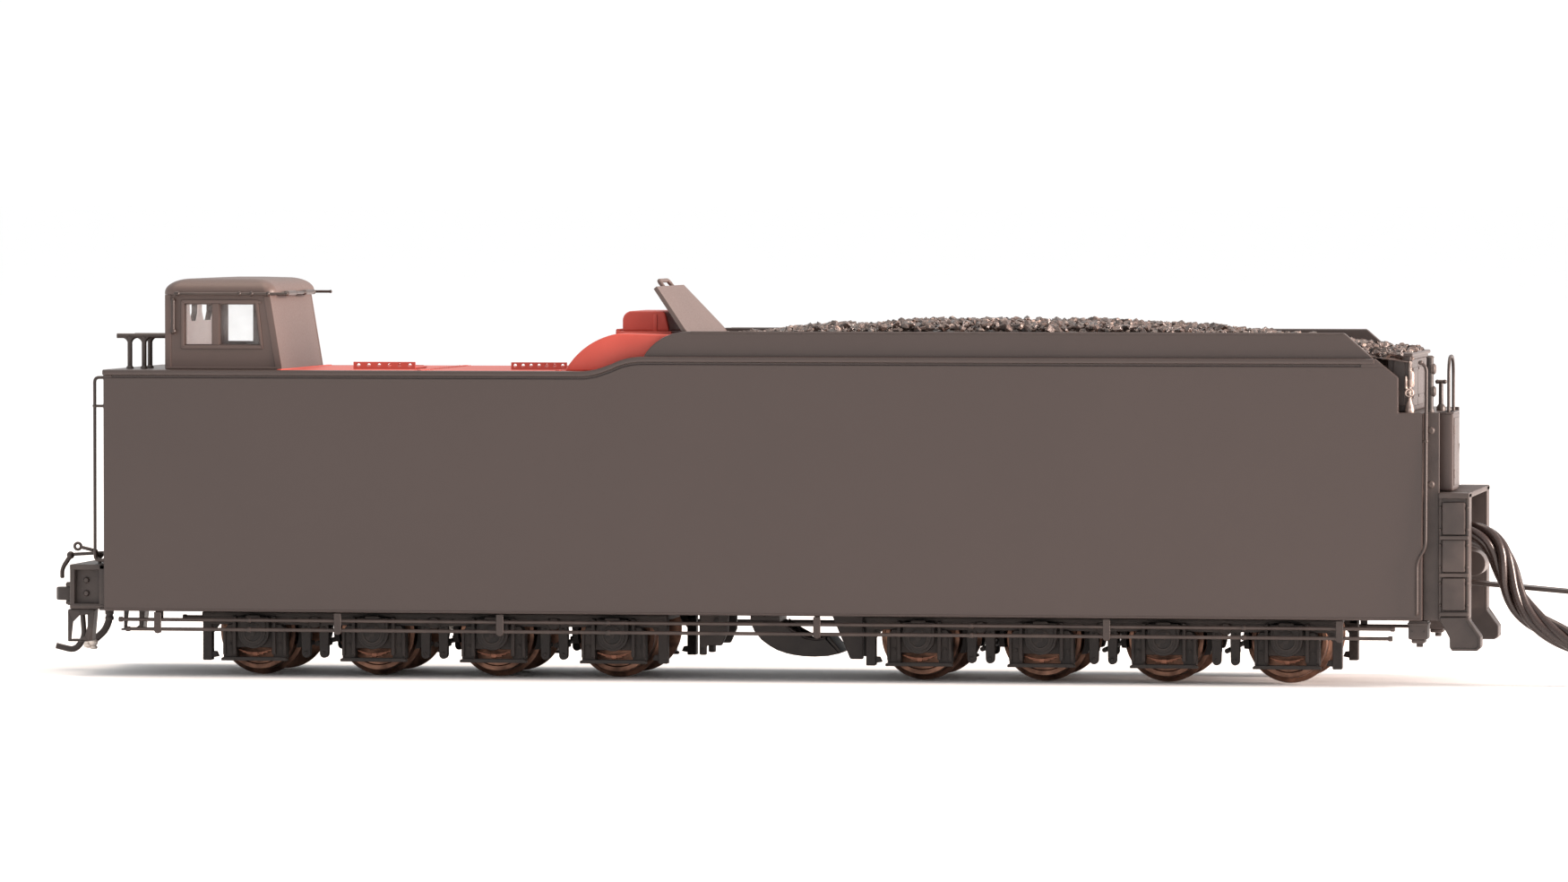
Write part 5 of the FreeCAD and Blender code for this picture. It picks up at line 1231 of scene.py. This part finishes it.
def rear_coupler():
    """The draft box, the coupler in it with its knuckle on a pin, and the trip pin."""
    low, high = box_of("coupler_box")
    mid = 10.6
    long, wide, tall = (low.x + 0.4, high.x), (low.y, high.y), (low.z + 0.1, high.z - 0.1)
    box_shapes = [block(long, wide, (mid + 0.78, high.z), 0.2),
                  block(long, wide, (low.z, mid - 0.78), 0.2),
                  block((high.x - 0.7, high.x), wide, tall, 0.1)]
    box_shapes += [block(long, about(y, 0.33), tall, 0.1) for y in (-2.76, 2.76)]
    box_shapes += [block((low.x, low.x + 0.7), wide, about(z, 0.35), 0.15) for z in (mid + 1.3, mid - 1.25)]
    box_shapes += [turned([(0.78, 0), (0.78, 2)], (-91, 0, mid - 1), "z", 20)]
    piece("draft_box", "tender", [(BLACK, box_shapes)], ["coupler_box"])

    shank = [(-98.6, -0.85), (-92.6, -0.85), (-91.9, -1.6), (-90.1, -1.6), (-89.6, -1.0),
             (-89.6, 1.0), (-90.1, 1.6), (-91.9, 1.6), (-92.6, 0.85), (-98.6, 0.85)]
    head = [(-98.2, -1.5), (-97.4, -0.9), (-97.4, 0.9), (-98.6, 2.35), (-100.5, 2.35), (-100.25, 1.2),
            (-99.4, 0.6), (-99.3, -0.5), (-99.2, -1.5)]
    shapes = [prism(shank, "z", mid - 0.66, mid + 0.66, 0.15),
              prism(head, "z", mid - 1.35, mid + 1.35, 0.25),
              turned([(0.34, 0), (0.34, 3.0), (0.5, 3.0), (0.45, 3.2), (0, 3.2)], (-98.9, -2.0, mid - 1.6),
                     "z", 14)]
    shapes += [block((-99.4, -97.9), (-2.48, -1.3), (z, z + 0.45), 0.12) for z in (mid - 1.48, mid + 1.03)]
    shapes.append(block((-98.4, -97.5), (-0.4, 0.4), (mid + 1.2, mid + 1.6), 0.12))
    piece("coupler_casting", "coupler", [(BLACK, shapes)], ["coupler"])

    jaw = [(-99.35, -2.55), (-98.6, -2.45), (-98.55, -1.75), (-99.45, -1.7), (-99.62, -0.55),
           (-100.55, -0.35), (-100.95, -1.55), (-100.4, -2.35)]
    piece("knuckle_casting", "knuckle",
          [(BLACK, [prism(jaw, "z", mid - 0.92, mid + 0.92, 0.2)])], ["coupler_knuckle"])

    pin_route = [(-98.0, 1.2, mid - 1.3), (-97.6, 1.2, 4.3), (-98.9, 1.1, 2.55), (-101.55, 0.9, 3.2)]
    bent = along_route(pin_route, 1.5)
    sizes = np.interp(np.linspace(0, 1, len(bent)), (0, 0.5, 1), (0.36, 0.46, 0.42)).tolist()
    piece("trip_wire", "coupler", [(WIRE, [sweep(bent, sizes, 14)])], ["trip_pin"], sharp=50)


def rear_fittings():
    """Uncoupling lever with its ring, air hose with its gladhand, and corner rails."""
    shaft_x, shaft_z, grip_y, lift_y = -92.1, 16.4, -15, -1.5
    bearings = (-12.6, -3.2)
    route = [(-94.2, grip_y, 17.6), (shaft_x, grip_y, 17.1), (shaft_x, grip_y + 1, shaft_z),
             (shaft_x, lift_y, shaft_z), (-98.9, lift_y, 16.0), (-100.1, lift_y, 14.2),
             (-100.1, lift_y, 12.7)]
    lever = [rod(route, 0.24, 0.6)]
    lever.append(sweep(circle((-94.6, grip_y, 17.7), 0.45, 24), 0.2, 10, closed=True))
    lever += [rod([(shaft_x, y, 15.2), (shaft_x, y, 16.3)], 0.26) for y in bearings]
    lever += [sweep(circle((shaft_x, y, shaft_z), 0.38, 16), 0.14, 8, closed=True) for y in bearings]
    lever += [ball((-98.9, lift_y, 15.9), 0.55),
              rod([(-98.95, lift_y, 15.7), (-100.1, lift_y, 14.0), (-100.1, lift_y, 12.8)], 0.3, 0.6),
              ball((shaft_x, grip_y, 17.0), 0.34)]
    piece("lever_wire", "tender", [(WIRE, lever)], ["uncoupling_lever"], sharp=50)

    hose_x, hose_y = -92.2, -6.5
    hose = [(hose_x, hose_y, 9.1), (hose_x, hose_y, 7.2), (-92.8, -6.8, 5.7), (-94.2, -7.4, 4.4)]
    rubber = [rod(hose, 0.5, 1.2, 14)]
    clip = [(0.58, 0), (0.62, 0.1), (0.62, 0.4), (0.58, 0.5)]
    rubber += [turned(clip, (hose_x, hose_y, z), "z", 14) for z in (8.0, 7.2)]
    gland = [turned([(0.62, 0), (0.66, 0.1), (0.66, 0.6), (0.5, 0.8)], (hose_x, hose_y, 8.4), "z", 6)]
    hand = [ball((-94.3, -7.5, 4.2), 0.78, (0.9, 1.0, 0.85)),
            ball((-95.0, -7.6, 3.85), 0.6, (1.0, 1.0, 0.85)),
            turned([(0.5, 0), (0.55, 0.3), (0.35, 0.45), (0, 0.45)], (-94.2, -7.5, 3.65), "-z", 14),
            block((-95.5, -94.6), (-8.2, -7.0), (3.5, 4.0), 0.15)]
    piece("hose_and_gladhand", "tender", [(HOSE, rubber), (BLACK, gland), (GLAD, hand)],
          ["air_hose"], sharp=45)

    rail_x, rail_y = -91.75, -16.8
    top, stay, foot = 40.9, 37.0, 15.9
    rail = [rod([(-TANK_END, rail_y, top), (rail_x, rail_y, top), (rail_x, rail_y, foot),
                 (-TANK_END, rail_y, foot)], 0.22, 0.8),
            rod([(rail_x, rail_y, stay), (-TANK_END, rail_y, stay)], 0.19)]
    rail += [turned([(0.5, 0), (0.5, 0.15), (0.3, 0.25)], (-TANK_END, rail_y, z), "-x", 14)
             for z in (top, stay, foot)]
    rail.append(ball((rail_x, rail_y, stay), 0.3))
    piece("corner_rails", "tender", [(WIRE, both(rail))], ["rear_handrails"], sharp=50)


def flared_post(x, y, bar_z):
    """A rail post that spreads into the bar above it on both sides."""
    shapes = [rod([(x, y, DECK_Z - 0.1), (x, y, bar_z)], 0.34),
              turned([(0.55, 0), (0.5, 0.2), (0.34, 0.4)], (x, y, DECK_Z))]
    for way in (-1, 1):
        flare = arc((1.15, bar_z - 1.15), 1.15, 180, 90, 9)
        shapes.append(sweep([Vector((x + way * reach, y, height)) for reach, height in flare], 0.3, 10))
    return shapes


def deck_rails_and_ladder():
    """Two rails on the deck behind the cabin, and the ladder below them on the rear wall."""
    bar_z = 46.5
    shapes = []
    for y, start, posts in ((-10, -90.2, (-88.4, -86.4)), (-6, -88.6, (-86.5,))):
        shapes.append(rod([(start, y, bar_z), (CABIN_BACK + 0.05, y, bar_z)], 0.34))
        for x in posts:
            shapes += flared_post(x, y, bar_z)
    piece("rail_castings", "tender", [(WIRE, shapes)], ["deck_rails"], sharp=50)

    line, foot, top, stay = -91.6, 16.1, 40.9, 30
    rungs, first_rung, rung_gap = 7, 18, 3.6
    sides = (-10, -6)
    shapes = []
    for y in sides:
        shapes.append(rod([(-TANK_END, y, foot), (line, y, foot), (line, y, top), (-TANK_END, y, top)], 0.24,
                          0.6))
        shapes.append(rod([(line, y, stay), (-TANK_END, y, stay)], 0.2))
    for number in range(rungs):
        height = first_rung + rung_gap * number
        shapes.append(rod([(line, y, height) for y in sides], 0.21))
        shapes += [ball((line, y, height), 0.3) for y in sides]
    piece("ladder_wire", "tender", [(WIRE, shapes)], ["rear_ladder"], sharp=50)


for build in (pipes, scoop, hose_boxes, rear_beam, stirrups, rear_coupler, rear_fittings,
              deck_rails_and_ladder):
    build()


# ---------------------------------------------------------------- front end

STEP_BACK, STEP_FRONT, STEP_TOP = 92.4, 96.5, 26.1
BUFFER_X, BUFFER_Z, BUFFER_RADIUS = 95.9, 16.1, 1.7


def front_frame():
    """The end plate with its ribs, treads, round bosses and the round-nosed buffer."""
    face = STEP_BACK - 0.5
    plates = [block((TANK_END, face), (7, 15.6), (SKIRT_Z, SHELF_Z), 0.15),
              block((TANK_END, face), (-15.6, -7), (SKIRT_Z, SHELF_Z), 0.15),
              block((TANK_END, face), (-7.1, 7.1), (16.4, SHELF_Z), 0.15)]
    nose = arc((BUFFER_X, BUFFER_Z), BUFFER_RADIUS, -90, 90, 14)
    nose += [(STEP_FRONT - 2.4, BUFFER_Z + BUFFER_RADIUS), (STEP_FRONT - 2.4, BUFFER_Z - BUFFER_RADIUS)]
    plates.append(prism(nose, "y", -3.6, 3.6, 0.15, 40))
    near = [block((TANK_END, STEP_BACK), (-16.4, -15.6), (SKIRT_Z, SHELF_Z), 0.12)]
    near += [turned([(0.5, 0), (0.5, 0.2), (0.3, 0.35), (0, 0.35)], (91.3, -16.3, z), "-y", 16)
             for z in (34.4, 27.2)]
    treads = [block((face - 0.1, STEP_FRONT), (-13.3, 13.3), (STEP_TOP - 0.75, STEP_TOP), 0.2),
              block((face - 0.1, STEP_FRONT - 2.2), (-13.3, 13.3), (16.45, 17.15), 0.2)]
    grip = (STEP_TOP - 0.05, STEP_TOP + 0.02)
    treads += [block((STEP_BACK - 0.3, STEP_FRONT - 0.1), about(y, 0.13), grip, 0.03)
               for y in np.arange(-12.6, 12.7, 1.2)]
    piece("front_plate", "tender", [(PAINT, plates), (BLACK, treads + both(near))],
          ["front_end_frame"])


def step_box():
    """Three boxed steps on the near side: rounded panels between thin ribs, over a flared foot."""
    outer, inner = -17.55, -13.35
    tall = (SKIRT_Z, STEP_TOP)
    shapes = [block((STEP_BACK + 0.3, STEP_FRONT - 0.3), (-16.9, inner), (SKIRT_Z + 0.2, STEP_TOP - 0.2),
                    0.12)]
    shapes.append(block((STEP_FRONT - 0.42, STEP_FRONT), (outer + 0.35, inner), tall, 0.14))
    shapes.append(block((STEP_BACK, STEP_BACK + 0.4), (outer + 0.5, inner), tall, 0.12))
    shapes.append(block((STEP_BACK, STEP_FRONT), (outer, inner), (STEP_TOP - 0.75, STEP_TOP), 0.18))
    for z in (9.9, 15.1, 20.1):
        shapes.append(block((STEP_BACK + 0.1, STEP_FRONT - 0.1), (outer, -16.6), about(z, 0.26), 0.14))
    for low in (10.35, 15.45, 20.45):
        shapes.append(block((STEP_BACK + 0.42, STEP_FRONT - 0.5), (outer + 0.12, -16.6), (low, low + 4.45),
                            0.42))
        for x in (STEP_BACK + 0.2, STEP_FRONT - 0.22):
            shapes += [rivet((x, outer + 0.5, low + up), "-y", 0.19, 0.36) for up in (0.75, 3.7)]
    foot = [(STEP_BACK + 0.2, SKIRT_Z + 0.5), (STEP_FRONT, SKIRT_Z + 0.5), (STEP_FRONT, SKIRT_Z),
            (98.05, 6.9), (98.05, 5.45), (97.6, 5.02), (94.2, 5.02), (93.9, 5.4), (93.9, 6.7),
            (STEP_BACK + 0.2, SKIRT_Z)]
    shapes.append(prism(foot, "y", outer + 0.2, inner, 0.2, 20))
    rim = [(95.95, 9.3), (96.5, 9.2), (98.08, 6.9), (98.08, 5.45), (97.6, 5.0), (94.2, 5.0), (94.2, 5.35),
           (97.45, 5.35), (97.7, 5.6), (97.7, 6.75)]
    shapes.append(prism(rim, "y", outer, outer + 0.6, 0.1, 20))
    return shapes


def front_steps():
    near = step_box()
    far = mirrored(near)
    piece("front_step_near", "tender", [(BLACK, near)], ["near_front_steps"])
    piece("front_step_far", "tender", [(BLACK, far)], ["far_front_steps"])


def cabinet():
    """The locker on the end plate with its rounded door, hinges and latch."""
    low, high = box_of("front_cabinet")
    front = high.x - 0.2
    shapes = [block((low.x, front), (low.y, high.y), (low.z, high.z), 0.5)]
    shapes.append(block(about(front, 0.1), (low.y + 0.8, high.y - 0.8), (low.z + 0.8, high.z - 0.8), 0.12))
    hinge_x, hinge_y = front + 0.02, low.y + 0.9
    shapes += [rod([(hinge_x, hinge_y, z - 0.6), (hinge_x, hinge_y, z + 0.6)], 0.17)
               for z in (low.z + 2.4, high.z - 2.4)]
    shapes += [rod([(front, high.y - 1.6, 31), (front + 0.1, high.y - 1.6, 32.4)], 0.13)]
    shapes.append(block((low.x, high.x - 0.15), (low.y - 0.1, high.y + 0.1), (high.z - 0.25, high.z), 0.1))
    piece("locker", "tender", [(PAINT, shapes)], ["front_cabinet"])


def handles_and_rails():
    """Valve spindle with its tee grip, the hoop over the locker, and the corner handrails."""
    spindle = [(0.62, 0), (0.62, 0.5), (0.4, 0.8), (0.33, 0.9), (0.3, 3.7), (0.42, 3.8)]
    ends = [(x, -5.4, SHELF_Z + 3.9) for x in (91.2, 92.2)]
    tee = [turned(spindle, (91.7, -5.4, SHELF_Z), "z", 16), rod(ends, 0.27)]
    tee += [ball(end, 0.3) for end in ends]
    piece("tee_handle", "tender", [(WIRE, tee)], ["valve_handle"], sharp=45)
    loop_x, loop_top = 93.3, 44.2
    loop = [rod([(loop_x, -12.2, SHELF_Z), (loop_x, -12.2, loop_top), (loop_x, -4.6, loop_top),
                 (loop_x, -4.6, SHELF_Z)], 0.22, 3.0)]
    rail_x = TANK_END + 0.45
    near = [rod([(90.0, -17.6, 43.6), (rail_x, -17.6, 42.8), (rail_x, -18.45, 18.8), (89.6, -18.45, 16.9),
                 (89.6, -18.45, 9.9), (89.6, -18.0, 9.9)], 0.23, 0.9),
            rod([(90.0, -17.6, 43.4), (90.0, -14.0, 43.4)], 0.2), ball((90.0, -17.6, 43.5), 0.34)]
    stay = (rail_x, -17.95, 33.0)
    near += [ball(stay, 0.3), rod([stay, (TANK_END - 0.1, -17.6, 33.0)], 0.18)]
    far = [rod([(TANK_END - 0.2, 17.6, 35.8), (rail_x, 17.6, 35.8), (rail_x, 18.45, 18.8),
                (89.6, 18.45, 16.9), (89.6, 18.45, 9.9), (89.6, 18.0, 9.9)], 0.23, 0.9)]
    piece("front_rails", "tender", [(WIRE, loop + near + far)], ["front_handrails"], sharp=50)


def hand_wheel(place, radius):
    """A small valve wheel with four spokes, facing sideways."""
    spokes = [rod([place, end], 0.09, sides=8) for end in circle(place, radius, 4)]
    return [sweep(circle(place, radius, 24), 0.14, 8, closed=True), ball(place, 0.26)] + spokes


def valves():
    """The near corner's valve on its bell-shaped base, and the dark pipe beside it, cut flat in front."""
    x, y = 88.3, -14.9
    bell = [(0.6, 0), (0.66, 0.3), (0.5, 0.9), (0.28, 1.5), (0.22, 1.9)]
    body = [(0.3, 0), (0.44, 0.3), (0.44, 1.7), (0.3, 2.1)]
    bright = [turned(bell, (x, y, SHELF_Z), "z", 20),
              rod([(x, y, SHELF_Z + 1.5), (x, y, 41.4), (x, -14.3, 43.4), (x, -13.95, 43.4)], 0.26, 0.9, 14),
              turned(body, (x + 0.2, y, 40.2), "z", 16),
              rod([(x - 0.5, y - 0.2, 41.6), (x - 0.5, y - 0.2, 39.9), (x, y - 0.2, 39.6)], 0.2, 0.4)]
    bright += hand_wheel((x, -15.5, 39.4), 0.5)
    pipe_x, pipe_y, flat_x = 91.0, -14.6, 91.93
    pipe = [(0.6, 0), (0.6, 0.3), (0.48, 0.5), (0.48, 7.2), (0.55, 7.4), (0.3, 7.6)]
    cap = [(0.4, 0), (0.72, 0.15), (0.72, 0.6), (0.5, 0.8)]
    dark = [turned(pipe, (pipe_x, pipe_y, SHELF_Z), "z", 16)]
    dark += [turned(cap, (pipe_x, pipe_y, z), "x", 12) for z in (39.6, 42.6)]
    for shape in dark:
        for vertex in shape.verts:
            vertex.co.x = min(vertex.co.x, flat_x)
    piece("valve_group", "tender", [(VALVE, bright), (BLACK, dark)], ["front_valves"],
          sharp=45)


def draw_bar():
    """The stamped drawbar with its rolled edges and eyes."""
    pivot, hook = 86.0, 116.0
    high, low, thick = 13.62, 11.72, 0.56
    neck, bend, tip = pivot + 2.2, hook - 4, hook - 2
    edge = [(neck, high), (90, high), (bend, low), (tip, low), (tip, low + thick), (bend, low + thick),
            (90, high + thick), (neck, high + thick)]
    web = [(neck, high + 0.04), (90, high + 0.04), (bend, low + 0.04), (tip - 0.2, low + 0.04),
           (tip - 0.2, low + 0.5), (bend, low + 0.5), (90, high + 0.5), (neck, high + 0.5)]
    shapes = [prism(edge, "y", start, end, 0.12) for start, end in ((-2, -1.2), (1.2, 2))]
    shapes.append(prism(web, "y", -1.25, 1.25, 0))
    for place, hole, outer in (((pivot, 0, high), 1.58, 2.95), ((hook, 0, low), 1.17, 2.55)):
        eye = turned([(hole, 0.05), (hole + 0.08, 0), (outer - 0.1, 0), (outer, 0.1), (outer, 0.46),
                      (outer - 0.1, 0.56), (hole + 0.08, 0.56), (hole, 0.5), (hole, 0.05)], place, "z", 40)
        caps = [face for face in eye.faces if len(face.verts) > 4]
        bmesh.ops.delete(eye, geom=caps, context="FACES")
        shapes.append(eye)
    piece("drawbar_stamping", "drawbar", [(WIRE, shapes)], ["drawbar"])


for build in (front_frame, front_steps, cabinet, handles_and_rails, valves, draw_bar):
    build()

# ---------------------------------------------------------------- carried-over CAD nodes

CARRIED = {
    "tank_paint": PAINT, "red_paint": RED, "coal": COAL, "black_plastic": BLACK, "truck_plastic": TRUCK_PLASTIC_SHADED,
    "black_wire": WIRE, "glazing": GLASS, "wheel_metal": WHEEL, "bronze": BRONZE, "weight_metal": WEIGHT,
    "board": BOARD, "speaker_case": SPEAKER, "screw_steel": STEEL, "valve_metal": VALVE, "hose_rubber": HOSE,
    "wire_rubber": RUBBER, "plug_plastic": PLUG,
}
for name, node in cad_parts.items():
    for material_slot in node.material_slots:
        # The cabin walls take the lighter copy of the tank paint, which is painted light.
        material_slot.material = PAINT_LIT_COPY if name == "doghouse" else CARRIED[material_slot.material.name]
